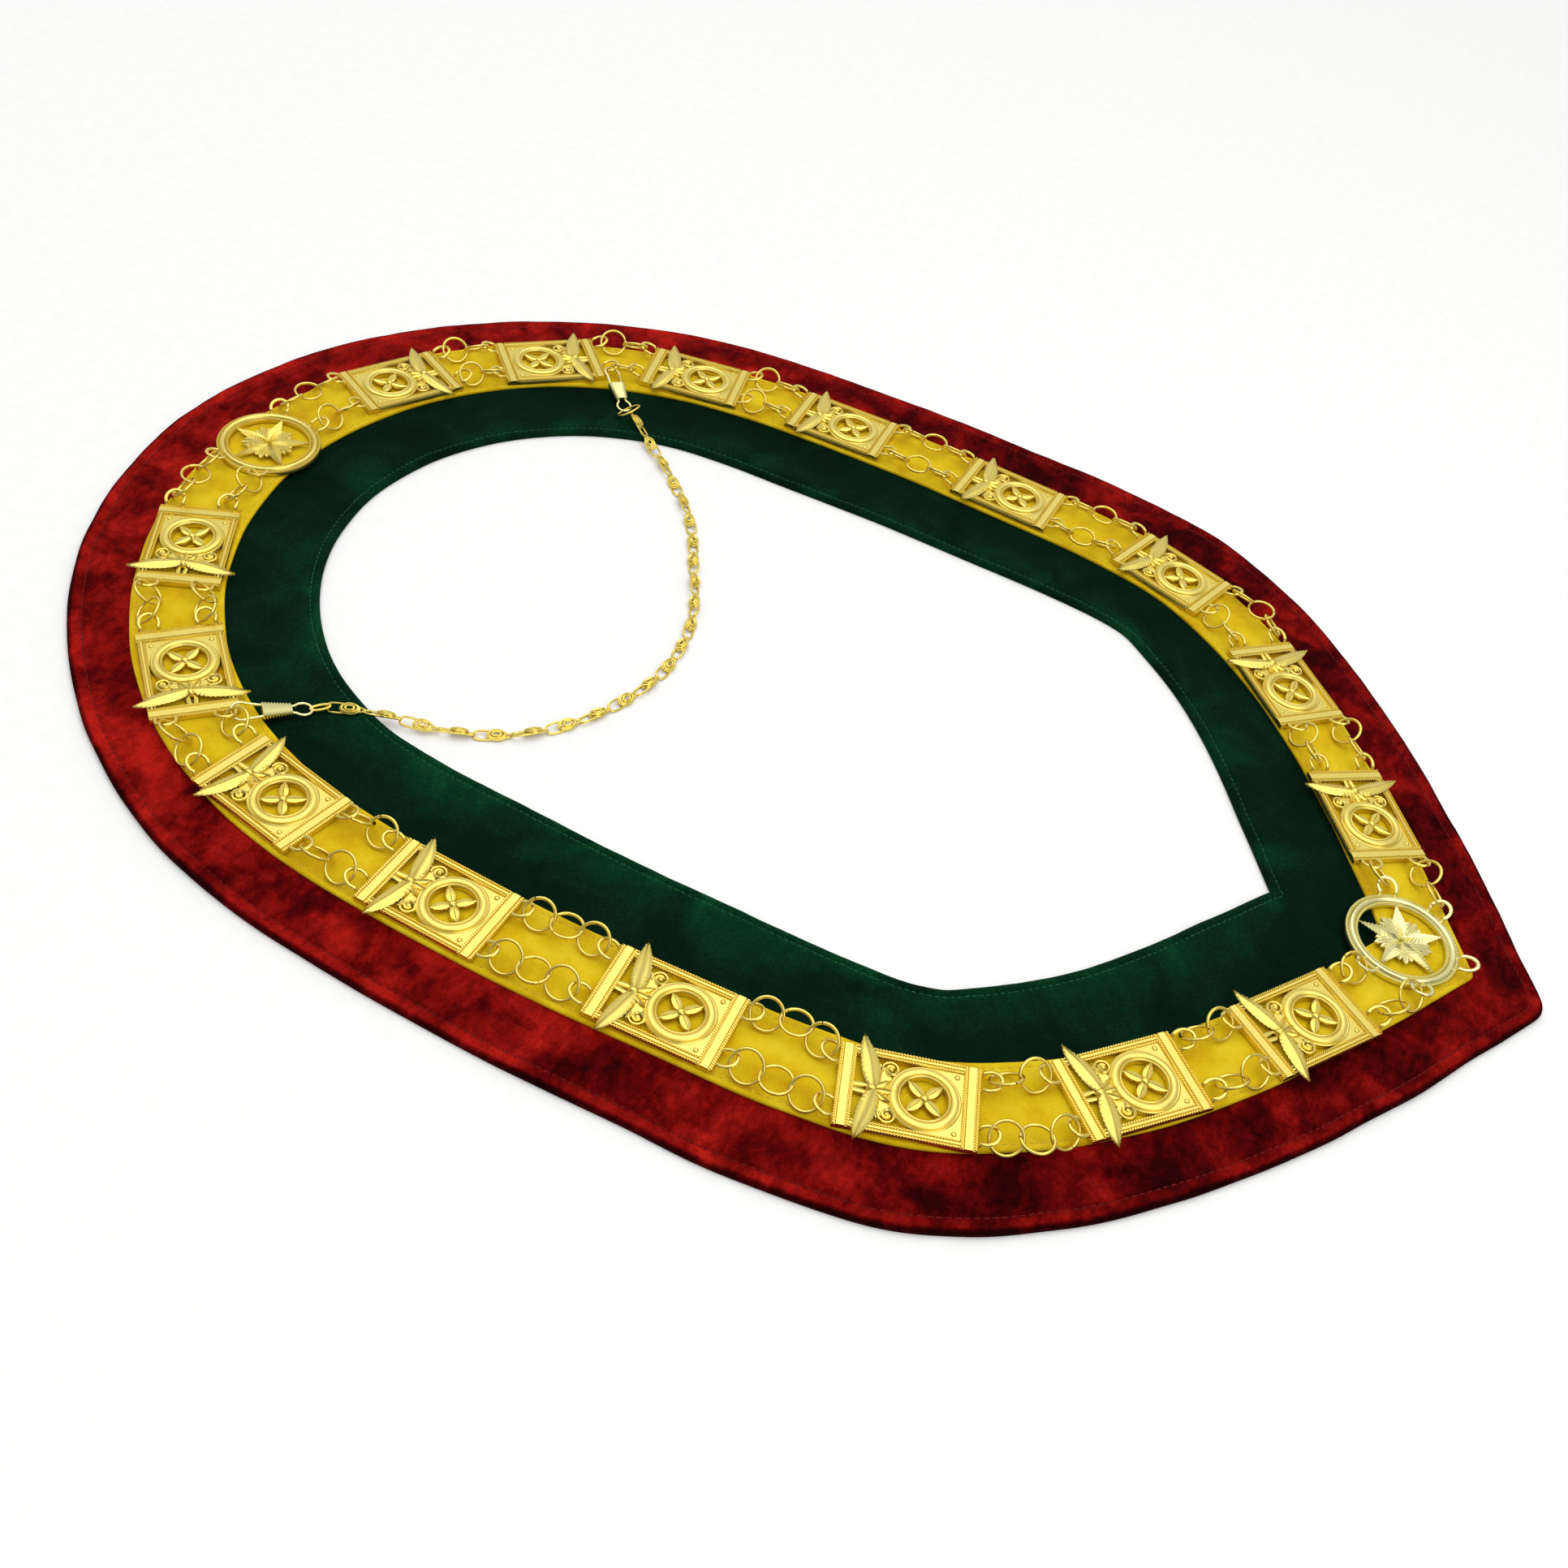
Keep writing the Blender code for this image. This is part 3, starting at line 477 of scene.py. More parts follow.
def tube_rows(path, half_width, half_height, sides, flat=UP, ring=False):
    """Returns oval sections square to a path. flat is the direction of their height."""
    rows = []
    for k, point in enumerate(path):
        before = path[k - 1] if k > 0 or ring else point
        after = path[(k + 1) % len(path)] if k + 1 < len(path) or ring else point
        travel = (after - before).normalized()
        side = travel.cross(flat).normalized()
        rows.append(oval(point, side, side.cross(travel), half_width, half_height, sides))
    return rows


def between(before, start, end, after, share):
    """Returns a point of the smooth curve from start to end, as a list of columns."""
    row = []
    for a, b, c, d in zip(before, start, end, after):
        curve = 2.0 * b + (c - a) * share
        curve += (2.0 * a - 5.0 * b + 4.0 * c - d) * share**2
        curve += (3.0 * b - a - 3.0 * c + d) * share**3
        row.append(0.5 * curve)
    return row


def smooth_rows(rows, before, after, steps):
    """Returns rows of columns along a smooth curve through the given rows."""
    ends = [before, *rows, after]
    path = []
    for k in range(len(rows) - 1):
        for step in range(steps):
            path.append(between(*ends[k : k + 4], step / steps))
    path.append(list(rows[-1]))
    return path


def curve_through(points, steps):
    """Returns a smooth open path of vectors through a few points."""
    before = [2.0 * a - b for a, b in zip(points[0], points[1])]
    after = [2.0 * a - b for a, b in zip(points[-1], points[-2])]
    return [Vector(row) for row in smooth_rows(points, before, after, steps)]


def low_points(node):
    """Returns the corners of a node's underside in plan, each once."""
    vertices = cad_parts[node].data.vertices
    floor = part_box(node)[0].z + 0.01 * MM
    corners = {(round(v.co.x, 5), round(v.co.y, 5)) for v in vertices if v.co.z < floor}
    return [np.array(corner) for corner in sorted(corners)]


def turn_from_front(point):
    return math.atan2(point[0], -point[1]) % FULL_TURN


def nearest(points, place):
    return min(points, key=lambda point: np.hypot(*(point - place)))


def band_edges():
    """Returns the stations of the bands' edges from the solids, each from the front and back to it.

    The two velvet bands meet along the middle of the chain, so the corners that they nearly share
    are the centre line, and their other corners are the outer and inner edges.
    """
    red = low_points("red_velvet_band")
    green = low_points("green_velvet_band")
    middle = [p for p in red if np.hypot(*(nearest(green, p) - p)) < MM]
    middle.sort(key=turn_from_front)
    taken = {tuple(p) for p in middle}
    outer = [p for p in red if tuple(p) not in taken]
    inner = [p for p in green if np.hypot(*(nearest(middle, p) - p)) > MM]
    outer.sort(key=turn_from_front)
    inner.sort(key=turn_from_front)
    felt = low_points("yellow_felt_ribbon")
    felt_outer = []
    felt_inner = []
    for place, edge in zip(middle, outer):
        outside = [p for p in felt if (p - place) @ (edge - place) > 0.0]
        inside = [p for p in felt if (p - place) @ (edge - place) < 0.0]
        felt_outer.append(nearest(outside, place))
        felt_inner.append(nearest(inside, place))
    return middle, outer, inner, felt_outer, felt_inner


def dense_loop(stations):
    """Returns a smooth closed loop through the stations, sharp at the first one."""
    rows = [*stations, stations[0]]
    before = 2.0 * rows[0] - rows[1]
    after = 2.0 * rows[0] - rows[-2]
    return np.array(smooth_rows(rows, before, after, LOOP_STEPS)[:-1])


def loop_steps(loop):
    """Returns the distance in plan from each point of a closed line to the next."""
    return np.hypot(*(np.roll(loop, -1, axis=0) - loop).T)


def distance_along(steps):
    return np.concatenate(([0.0], np.cumsum(steps)[:-1]))


def rounded_corner(loop, reach):
    """Returns the loop with its sharp first point rounded over a reach to either side."""
    steps = loop_steps(loop)
    away = distance_along(steps)
    away = np.minimum(away, steps.sum() - away)
    cut = away < reach
    ends = loop[np.argmax(~cut)], loop[len(loop) - 1 - np.argmax(~cut[::-1])]
    tip = loop[0]
    soft = loop.copy()
    for k in np.flatnonzero(cut):
        side = 0 if k < len(loop) // 2 else 1
        share = 0.5 * (1.0 - away[k] / reach)
        near, far = ends[side], ends[1 - side]
        soft[k] = near * (1 - share) ** 2 + tip * 2 * share * (1 - share) + far * share**2
    return soft


def ripple(point, size, seed):
    """Returns a smooth uneven value from -1 to 1 over the plan, with bumps of the given size."""
    return noise.noise(Vector((point[0] / size, point[1] / size, seed)))


class Band:
    """A flat strip of cloth between the middle line and an edge, and the heights of its face."""

    def __init__(self, middle, edge, seam, field, lift, stitch):
        self.middle = middle
        self.edge = edge
        self.columns = face_columns(seam, field)
        self.seam = seam
        self.lift = lift
        self.stitch = stitch
        self.width = np.hypot(*(middle - edge).T)
        self.along = distance_along(loop_steps(edge))

    def point(self, k, inside):
        share = inside / self.width[k]
        return self.edge[k] * (1.0 - share) + self.middle[k] * share

    def height(self, k, inside, relief):
        """Returns the height of the face at a distance inside the edge at station k."""
        place = self.point(k, inside)
        loose = max(0.0, 1.0 - inside / LOOSE_EDGE) ** 2
        wave = self.lift * loose * (0.5 + 0.5 * ripple(self.edge[k], LOOSE_WAVE, 0.0))
        pull = math.cos(FULL_TURN * self.along[k] / self.stitch)
        pucker = PUCKER * math.exp(-(((inside - self.seam) / PUCKER_REACH) ** 2)) * pull
        gather = GATHER * math.exp(-(((inside - self.seam) / GATHER_REACH) ** 2))
        gather *= ripple(place, GATHER_SIZE, 4.0)
        crush = CRUSH * ripple(place, CRUSH_SIZE, 9.0)
        return relief * VELVET_TOP + wave + pucker + gather + crush

    def seam_line(self):
        """Returns the line in the face that the stitches follow."""
        line = []
        for k in range(len(self.edge)):
            line.append((*self.point(k, self.seam), self.height(k, self.seam, SEAM_LEVEL)))
        return np.array(line)

    def build(self, name, material):
        """Returns the band as a closed mesh, which knows how many millimetres inside the edge it is."""
        casting = Casting()
        rows = []
        from_edge = []
        for k in range(len(self.edge)):
            row = []
            for inside, share, relief, under in self.columns:
                depth = self.width[k] * share + inside
                z = self.height(k, depth, relief)
                if under:
                    z = max(0.0, z - self.height(k, depth, 1.0) + VELVET_TOP) * relief
                row.append((*self.point(k, depth), z))
                from_edge.append(depth / MM)
            rows.append(row)
        casting.skin(rows, ring=True)
        mesh = casting.mesh(name, [material], 80.0)
        mark = mesh.attributes.new("from_edge", "FLOAT", "POINT")
        mark.data.foreach_set("value", from_edge)
        return mesh


def face_columns(seam, field):
    """Returns columns over a band's face and back: metres and share of the width inside the edge,
    height as a share of the thickness, and whether the column is on the underside.
    """
    near = (
        # metres inside the edge, height
        (0.0, 0.45),
        (0.15 * MM, 0.70),
        (0.5 * MM, 0.90),
        (1.1 * MM, 1.02),
        (seam * 0.36, 1.08),
        (seam * 0.50, 1.10),
        (seam * 0.62, 1.08),
        (seam - 1.1 * MM, 1.03),
        (seam - 0.5 * MM, 0.90),
        (seam, SEAM_LEVEL),
        (seam + 0.5 * MM, 0.90),
        (seam + 1.1 * MM, 1.02),
        (seam + 2.2 * MM, 1.07),
        (seam + 3.6 * MM, 1.07),
    )
    columns = [(inside, 0.0, height, False) for inside, height in near]
    start = near[-1][0]
    for step in range(1, field + 1):
        share = step / field
        columns.append((start * (1.0 - share), share, 1.07 - 0.05 * share, False))
    columns.append((0.0, 1.0, 0.0, True))
    columns.append((start, 0.0, 0.0, True))
    columns.append((1.0 * MM, 0.0, 0.0, True))
    columns.append((0.2 * MM, 0.0, 0.12, True))
    return columns


def spaced(path, pitch):
    """Returns evenly spaced places of a closed path, with the direction of travel at each."""
    steps = np.linalg.norm(np.roll(path, -1, axis=0) - path, axis=1)
    along = np.concatenate(([0.0], np.cumsum(steps)))
    count = int(along[-1] / pitch)
    shut = np.vstack((path, path[:1]))
    places = []
    for k in range(count):
        ends = []
        for offset in (-0.3, 0.0, 0.3):
            where = (k + 0.5 + offset) * along[-1] / count
            ends.append(Vector([np.interp(where, along, shut[:, axis]) for axis in range(3)]))
        places.append((ends[1], (ends[2] - ends[0]).normalized()))
    return places


def add_stitches(name, path, pitch, thread, material):
    """Adds a row of running stitches whose ends dip into the cloth."""
    casting = Casting()
    profile = (
        # share of the pitch, rise and swell as shares of the thread's radius
        (-0.42, -0.5, 0.55),
        (-0.25, 0.35, 0.95),
        (0.0, 0.6, 1.0),
        (0.25, 0.35, 0.95),
        (0.42, -0.5, 0.55),
    )
    for place, travel in spaced(path, pitch):
        slack = random.uniform(0.85, 1.05)
        line = [place + travel * pitch * share * slack + UP * thread * rise for share, rise, _ in profile]
        rows = tube_rows(line, thread, thread, 5)
        for row, point, (_, _, swell) in zip(rows, line, profile):
            for j, corner in enumerate(row):
                row[j] = point + (corner - point) * swell
        casting.skin(rows)
    return add_piece(name, casting.mesh(name, [material], 60.0), [])


def sharpen_neck_corners(inner, middle):
    """Pulls the inner edge towards the middle line at the two corners of the neck opening."""
    for k, point in enumerate(inner):
        away = np.hypot(abs(point[0]) - NECK_CORNER[0], point[1] - NECK_CORNER[1])
        out = (middle[k] - point) / np.hypot(*(middle[k] - point))
        inner[k] = point + out * NECK_CORNER_PULL * math.exp(-away / NECK_CORNER_REACH)


def add_cloth():
    """Adds the two velvet bands and the felt ribbon, with their stitching."""
    middle, outer, inner, felt_outer, felt_inner = (dense_loop(edge) for edge in band_edges())
    outer = rounded_corner(outer, CORNER_ROUNDING)
    inner = rounded_corner(inner, GREEN_ROUNDING)
    sharpen_neck_corners(inner, middle)
    felt_outer = rounded_corner(felt_outer, FELT_ROUNDING)
    for loop, amount in ((outer, 0.5), (inner, 0.3), (felt_outer, 0.35), (felt_inner, 0.35)):
        for k, point in enumerate(loop):
            loop[k] = point * (1.0 + amount * MM / COLLAR_REACH * ripple(point, EDGE_RIPPLE, 2.0))

    red = Band(middle, outer, RED_SEAM, 12, RED_LIFT, RED_STITCH)
    green = Band(middle, inner, GREEN_SEAM, 14, GREEN_LIFT, GREEN_STITCH)
    red_thread = sewing_thread("dark_red_thread", "#4A0304", "#86100E")
    green_thread = sewing_thread("green_thread", "#0A3A1C", "#1C6A3C")
    for band, colour, material, thread, thickness in (
        (red, "red", crushed_velvet(), red_thread, RED_THREAD),
        (green, "green", plain_velvet(), green_thread, GREEN_THREAD),
    ):
        name = f"{colour}_velvet"
        row = f"{colour}_topstitching"
        stitches = add_stitches(row, band.seam_line(), band.stitch, thickness, thread)
        piece = add_piece(name, band.build(name, material), [f"{name}_band"])
    add_felt(felt_outer, felt_inner)


def add_felt(outer, inner):
    """Adds the felt ribbon, which is thicker than its solid only by the nap at its edges."""
    casting = Casting()
    bottom = VELVET_TOP + 0.05 * MM
    thickness = FELT_TOP - bottom
    face = [
        # share of the way from the outer edge, metres further in, height as a share
        (0.0, 0.0, 0.35),
        (0.0, 0.12 * MM, 0.72),
        (0.0, 0.5 * MM, 0.94),
        (0.0, 1.2 * MM, 1.03),
        (0.0, FELT_SEAM - 0.6 * MM, 1.0),
        (0.0, FELT_SEAM, 0.84),
        (0.0, FELT_SEAM + 0.6 * MM, 1.0),
        (0.0, FELT_SEAM + 1.8 * MM, 1.05),
    ]
    field = [(share, 0.0, 1.04) for share in (0.22, 0.32, 0.42, 0.5, 0.58, 0.68, 0.78)]
    mirror = [(1.0 - share, -inset, height) for share, inset, height in reversed(face)]
    back = [(1.0, -0.1 * MM, 0.0), (0.5, 0.0, 0.0), (0.0, 0.1 * MM, 0.0)]
    width = np.hypot(*(outer - inner).T)
    rows = []
    for k in range(len(outer)):
        row = []
        for share, inset, height in face + field + mirror + back:
            part = share + inset / width[k]
            place = outer[k] * (1.0 - part) + inner[k] * part
            lumps = [rise * ripple(place, size, seed) for seed, (rise, size) in enumerate(FELT_LUMPS, 6)]
            row.append((*place, bottom + height * thickness + (sum(lumps) if height > 0.5 else 0.0)))
        rows.append(row)
    casting.skin(rows, ring=True)
    thread = sewing_thread("yellow_thread", "#B88E06", "#F0D840")
    for side, column in (("outer", 5), ("inner", len(face) + len(field) + 2)):
        seam = np.array([row[column] for row in rows])
        name = f"felt_stitching_{side}"
        add_stitches(name, seam, FELT_STITCH, FELT_THREAD, thread)
    ribbon = casting.mesh("yellow_felt", [wool_felt()], 80.0)
    piece = add_piece("yellow_felt", ribbon, ["yellow_felt_ribbon"])


def teeth_rows(place, travel, across, half_width, slant, low):
    """Returns the foot and top of one milled tooth, a small slanted bar across a border."""
    rows = []
    for z, swell, squeeze in ((low, 1.0, 1.0), (low + TOOTH_HEIGHT, 0.78, 0.45)):
        row = []
        for side, end in ((-1.0, -1.0), (1.0, -1.0), (1.0, 1.0), (-1.0, 1.0)):
            shift = end * TOOTH_PITCH * 0.36 * squeeze + side * slant
            row.append(place + across * side * half_width * swell + travel * shift + UP * z)
        rows.append(row)
    return rows


def mill_circle(casting, radius, half_width, low):
    """Adds a milled border round a circle about the origin."""
    count = round(FULL_TURN * radius / TOOTH_PITCH)
    for k in range(count):
        out = out_at(FULL_TURN * k / count)
        casting.skin(teeth_rows(out * radius, UP.cross(out), out, half_width, 0.2 * MM, low))


def milled_bar(casting, start, end, across, half_width, border, tooth):
    """Adds a straight bar: a raised flat strip between two low borders with a row of teeth on each."""
    step = border - half_width
    side = [
        (-half_width, 0.0),
        (-half_width, BORDER_TOP - 0.15 * MM),
        (-half_width + 0.10 * MM, BORDER_TOP),
        (step - 0.10 * MM, BORDER_TOP),
        (step, BORDER_TOP - 0.30 * MM),
        (step + 0.15 * MM, BORDER_TOP - 0.30 * MM),
        (step + 0.45 * MM, BORDER_TOP + 0.25 * MM),
    ]
    section = side + [(-x, z) for x, z in reversed(side)]
    casting.skin([[place + across * x + UP * z for x, z in section] for place in (start, end)], SATIN)
    way = end - start
    travel = way.normalized()
    count = round(way.length / TOOTH_PITCH)
    for side in (1.0, -1.0):
        first = start + across * side * (half_width - border / 2.0)
        for k in range(count):
            place = first + way * ((k + 0.5) / count)
            low = BORDER_TOP - 0.05 * MM
            casting.skin(teeth_rows(place, travel, UP.cross(travel), tooth, 0.22 * MM, low), BRIGHT)


def turned_rows(centre, profile, steps):
    """Returns sections of a profile of (radius, height) turned about an upright axis."""
    rows = []
    for k in range(steps):
        out = out_at(FULL_TURN * k / steps)
        rows.append([centre + out * radius + UP * height for radius, height in profile])
    return rows


def leaf_rows(path, widest, base, crown, veins):
    """Returns sections of a leaf along a path, with a raised midrib, side veins and a cut edge."""
    rows = []
    count = len(path) - 1
    for k, point in enumerate(path):
        travel = (path[min(count, k + 1)] - path[max(0, k - 1)]).normalized()
        side = UP.cross(travel)
        half = widest * math.sin(math.pi * min(1.0, 0.10 + 0.90 * k / count) ** 0.85) ** 0.75
        half = max(half, 0.12 * MM)
        vein = veins if k % 2 else 0.0
        half *= 1.0 - 0.10 * vein
        shoulder = crown - (0.30 + 0.30 * vein) * MM
        flank = [
            (-1.0, base + 0.2 * MM),
            (-0.82, shoulder - 0.25 * MM),
            (-0.42, shoulder),
            (-0.10, crown - 0.22 * MM),
        ]
        section = [*flank, (0.0, crown), *[(-x, z) for x, z in reversed(flank)], (0.0, base)]
        rows.append([point + side * half * x + UP * z for x, z in section])
    return rows


def bead_rows(centre, radius, height, sides=10, levels=5, stretch=1.0):
    """Returns level rings of a domed bead that sits on its centre point."""
    rows = []
    for k in range(levels):
        rise = math.pi / 2.0 * k / levels
        reach = radius * math.cos(rise)
        middle = centre + UP * height * math.sin(rise)
        rows.append(oval(middle, AHEAD, ACROSS, reach * stretch, reach, sides))
    return rows


def sheet_rows(outline, low, high):
    """Returns the two level outlines of a thin flat piece."""
    return [[point + UP * z for point in outline] for z in (low, high)]


def eye_rows(edge_centre, direction):
    """Returns the sections of one eye: a round loop that tips up, with its legs bent into the edge."""
    out = out_at(direction)
    side = UP.cross(out)
    centre = edge_centre + UP * EYE_HEIGHT + out * EYE_REACH
    climb = math.tan(EYE_TILT)
    tipped = out + UP * climb
    end = EYE_SWEEP / 2.0
    spread = EYE_HALF_WIDTH * 0.93
    loop = arc(centre - tipped * 0.2 * MM, tipped, side, EYE_HALF_WIDTH, spread, end, -end, 16)
    legs = []
    for flip in (1.0, -1.0):
        bends = ((-3.6, 3.0, -2.7), (-2.5, 3.0, -2.2), (-2.1, 3.1, -1.2))
        legs.append([centre + (out * x + side * flip * y + UP * z) * MM for x, y, z in bends])
    path = legs[0] + loop + legs[1][::-1]
    flat = (UP - out * climb).normalized()
    return tube_rows(path, EYE_STRIP / 2.0, EYE_STRIP_THICKNESS / 2.0, 10, flat)


def add_plate_frame(casting):
    """Adds a plate's two end bars and two side bars."""
    for flip in (1.0, -1.0):
        end = AHEAD * flip * (HALF_LENGTH - END_BAR / 2.0)
        reach = ACROSS * HALF_WIDTH
        milled_bar(casting, end - reach, end + reach, AHEAD, END_BAR / 2.0, 1.0 * MM, 0.46 * MM)
        side = ACROSS * flip * (HALF_WIDTH - SIDE_BAR / 2.0)
        reach = AHEAD * (BAR_EDGE + 0.2 * MM)
        milled_bar(casting, side - reach, side + reach, ACROSS, SIDE_BAR / 2.0, 0.7 * MM, 0.32 * MM)


def add_roundel(casting):
    """Adds the round moulding with its rosette, and the web that joins it to the frame."""
    section = (
        # out from the window, height, in millimetres
        (0.0, 0.2), (0.0, 1.9), (0.2, 2.3), (0.5, 2.45), (0.8, 2.3), (0.95, 1.95),
        (1.1, 2.35), (1.35, 2.6), (2.2, 2.75), (3.0, 2.6), (3.4, 2.3), (3.5, 1.8),
    )
    moulding = [(WINDOW + out * MM, height * MM) for out, height in section]
    moulding.append((ROUNDEL - 0.2 * MM, 1.9 * MM))
    moulding.append((ROUNDEL + 0.2 * MM, 1.6 * MM))
    moulding.append((ROUNDEL + ROUNDEL_MARGIN, 0.2 * MM))
    casting.skin(turned_rows(ROUNDEL_MIDDLE, moulding, 60), SATIN, ring=True)

    right = AHEAD * (BAR_EDGE + 0.3 * MM)
    top = ACROSS * (HALF_WIDTH - SIDE_BAR + 0.3 * MM)
    reach = ROUNDEL - 1.0 * MM
    web = [right - top, right + top, ROUNDEL_MIDDLE + top]
    web += arc(ROUNDEL_MIDDLE, AHEAD, ACROSS, reach, reach, math.pi / 2.0, -math.pi / 2.0, 12)
    web.append(ROUNDEL_MIDDLE - top)
    casting.skin(sheet_rows(web, 0.3 * MM, 1.5 * MM), SATIN)
    for flip in (1.0, -1.0):
        spot = right + top * flip + mm(-2.4, -2.0 * flip, 1.3)
        casting.skin(bead_rows(spot, 1.0 * MM, 0.8 * MM), BRIGHT)

    for k in range(4):
        out = out_at(FULL_TURN * (k + 0.5) / 4)
        petal = [ROUNDEL_MIDDLE + out * (1.0 * MM + (WINDOW - 0.6 * MM) * j / 8) for j in range(9)]
        casting.skin(leaf_rows(petal, 1.9 * MM, 0.9 * MM, 2.5 * MM, 0.0), BRIGHT)
    casting.skin(bead_rows(ROUNDEL_MIDDLE + UP * 1.2 * MM, 1.7 * MM, 1.9 * MM, 14, 6), BRIGHT)


def add_spray(casting):
    """Adds the spray: two long leaves on stems, a scroll and a berry by each, and a small palm."""
    for flip in (1.0, -1.0):
        bends = ((0.6, 0.8), (-0.3, 5.0), (-1.4, 10.0), (-2.9, 15.0))
        spine = [KNOT + mm(x, flip * y) for x, y in bends]
        spine.append(Vector((-BAR_EDGE + SIDE_BAR / 2.0, flip * (HALF_WIDTH + LEAF_OVERHANG), 0.0)))
        casting.skin(leaf_rows(curve_through(spine, 6), 3.1 * MM, 2.0 * MM, 3.3 * MM, 1.0), SATIN)
        bends = ((0.5, 1.0), (-0.2, 6.0), (-1.2, HALF_WIDTH / MM - 1.0))
        stem = [KNOT + mm(x, flip * y, 1.1) for x, y in bends]
        casting.skin(tube_rows(curve_through(stem, 4), 1.1 * MM, 1.0 * MM, 8), SATIN)
        strut = [KNOT + mm(-0.5, flip * 1.5, 1.0), mm(-BAR_EDGE / MM - 0.5, flip, 1.0)]
        casting.skin(tube_rows(strut, 1.0 * MM, 0.9 * MM, 8), SATIN)
        casting.skin(bead_rows(KNOT + mm(5.6, flip * 8.3, 1.7), 0.95 * MM, 0.9 * MM), BRIGHT)

        scroll = []
        for k in range(22):
            turn = math.radians(200.0 - 26.0 * k)
            size = 3.0 - 0.105 * k
            curl = mm(size * math.cos(turn), flip * size * math.sin(turn), 0.02 * k)
            scroll.append(KNOT + mm(5.6, flip * 8.3, 1.5) + curl)
        casting.skin(tube_rows(scroll, 0.55 * MM, 0.6 * MM, 7), BRIGHT)

    casting.skin(bead_rows(KNOT + UP * 1.6 * MM, 1.5 * MM, 1.9 * MM, 12, 5, 1.3), BRIGHT)
    half_fan = math.radians(72.0)
    fan = arc(KNOT, AHEAD, ACROSS, 7.0 * MM, 10.4 * MM, half_fan, -half_fan, 8)
    fan = [KNOT + mm(-0.6, 1.5), *fan, KNOT + mm(-0.6, -1.5)]
    casting.skin(sheet_rows(fan, 0.4 * MM, 1.5 * MM), SATIN)
    for k in range(-2, 3):
        out = out_at(math.radians(34.0) * k)
        length = (6.6 - 0.25 * abs(k)) * MM
        palm = [KNOT + out * (0.8 * MM + length * j / 8) for j in range(9)]
        casting.skin(leaf_rows(palm, 1.35 * MM, 1.1 * MM, 2.75 * MM, 0.6), BRIGHT)


def plate_casting():
    """Returns one pierced plate about its own middle, its round moulding towards +X."""
    casting = Casting()
    add_plate_frame(casting)
    add_roundel(casting)
    add_spray(casting)
    for end, direction in ((HALF_LENGTH, 0.0), (-HALF_LENGTH, math.pi)):
        for side in (EYE_SPREAD, -EYE_SPREAD):
            casting.skin(eye_rows(Vector((end, side, 0.0)), direction), BRIGHT)
    return casting


def ribbed_ray(casting, turn, reach):
    """Adds a long ray of the star, whose ribs meet in arrowheads on its ridge."""
    out = out_at(turn)
    side = UP.cross(out)
    widest, widest_at = LONG_RAY_HALF_WIDTH, LONG_RAY_WIDEST_AT
    low, shoulder, crown = 1.3 * MM, 2.0 * MM, 2.95 * MM
    rows = []
    steps = LONG_RAY_RIBS * 2
    for k in range(steps + 1):
        along = reach * k / steps
        back = max(0.0, along - 1.1 * widest * (1.0 - k / steps))
        share = 0.25 + 0.75 * back / widest_at
        if back > widest_at:
            share = (reach - back) / (reach - widest_at)
        half = max(widest * share, 0.10 * MM)
        groove = 0.36 * MM if k % 2 and 0 < k < steps else 0.0
        fall = crown - 0.7 * MM * (along / reach) ** 1.5
        quarter = (along + back) / 2.0
        section = (
            # along, aside, height
            (back, -half, shoulder - groove),
            (quarter, -half / 2.0, (shoulder + fall) / 2.0 - groove),
            (along, 0.0, fall - groove),
            (quarter, half / 2.0, (shoulder + fall) / 2.0 - groove),
            (back, half, shoulder - groove),
            (back, half, low),
            (back, -half, low),
        )
        rows.append([out * x + side * y + UP * z for x, y, z in section])
    casting.skin(rows)


def fingered_ray(casting, turn):
    """Adds a short ray of the star: three pointed fingers side by side, each with two ribs."""
    out = out_at(turn)
    side = UP.cross(out)
    pitch = SHORT_RAY_HALF_WIDTH / 3.0
    outline = [out * 1.5 * MM - side * pitch * 0.3, out * 6.5 * MM - side * pitch * 1.5]
    for finger in (-1, 0, 1):
        centre = side * finger * 2.0 * pitch
        tip = SHORT_RAY_LENGTH * (1.0 if finger == 0 else 0.87)
        for flank in (-1.0, 1.0):
            offset = centre + side * flank * pitch * 0.5
            foot = 2.2 * MM + 2.1 * offset.length
            ridge = [
                out * foot + offset * 0.9 + UP * 1.8 * MM,
                out * (foot + tip) / 2.0 + offset + UP * 2.0 * MM,
                out * (tip - 1.1 * MM) + offset + UP * 1.9 * MM,
                out * (tip - 0.2 * MM) + centre + side * flank * pitch * 0.15 + UP * 1.7 * MM,
            ]
            casting.skin(tube_rows(ridge, pitch * 0.40, 0.34 * MM, 6))
        for flank, back in ((-1.0, 1.2), (0.0, -0.3), (1.0, 1.2)):
            outline.append(centre + out * (tip - back * MM) + side * flank * pitch)
    outline += [out * 6.5 * MM + side * pitch * 1.5, out * 1.5 * MM + side * pitch * 0.3]
    casting.skin(sheet_rows(outline, 1.2 * MM, 1.9 * MM))


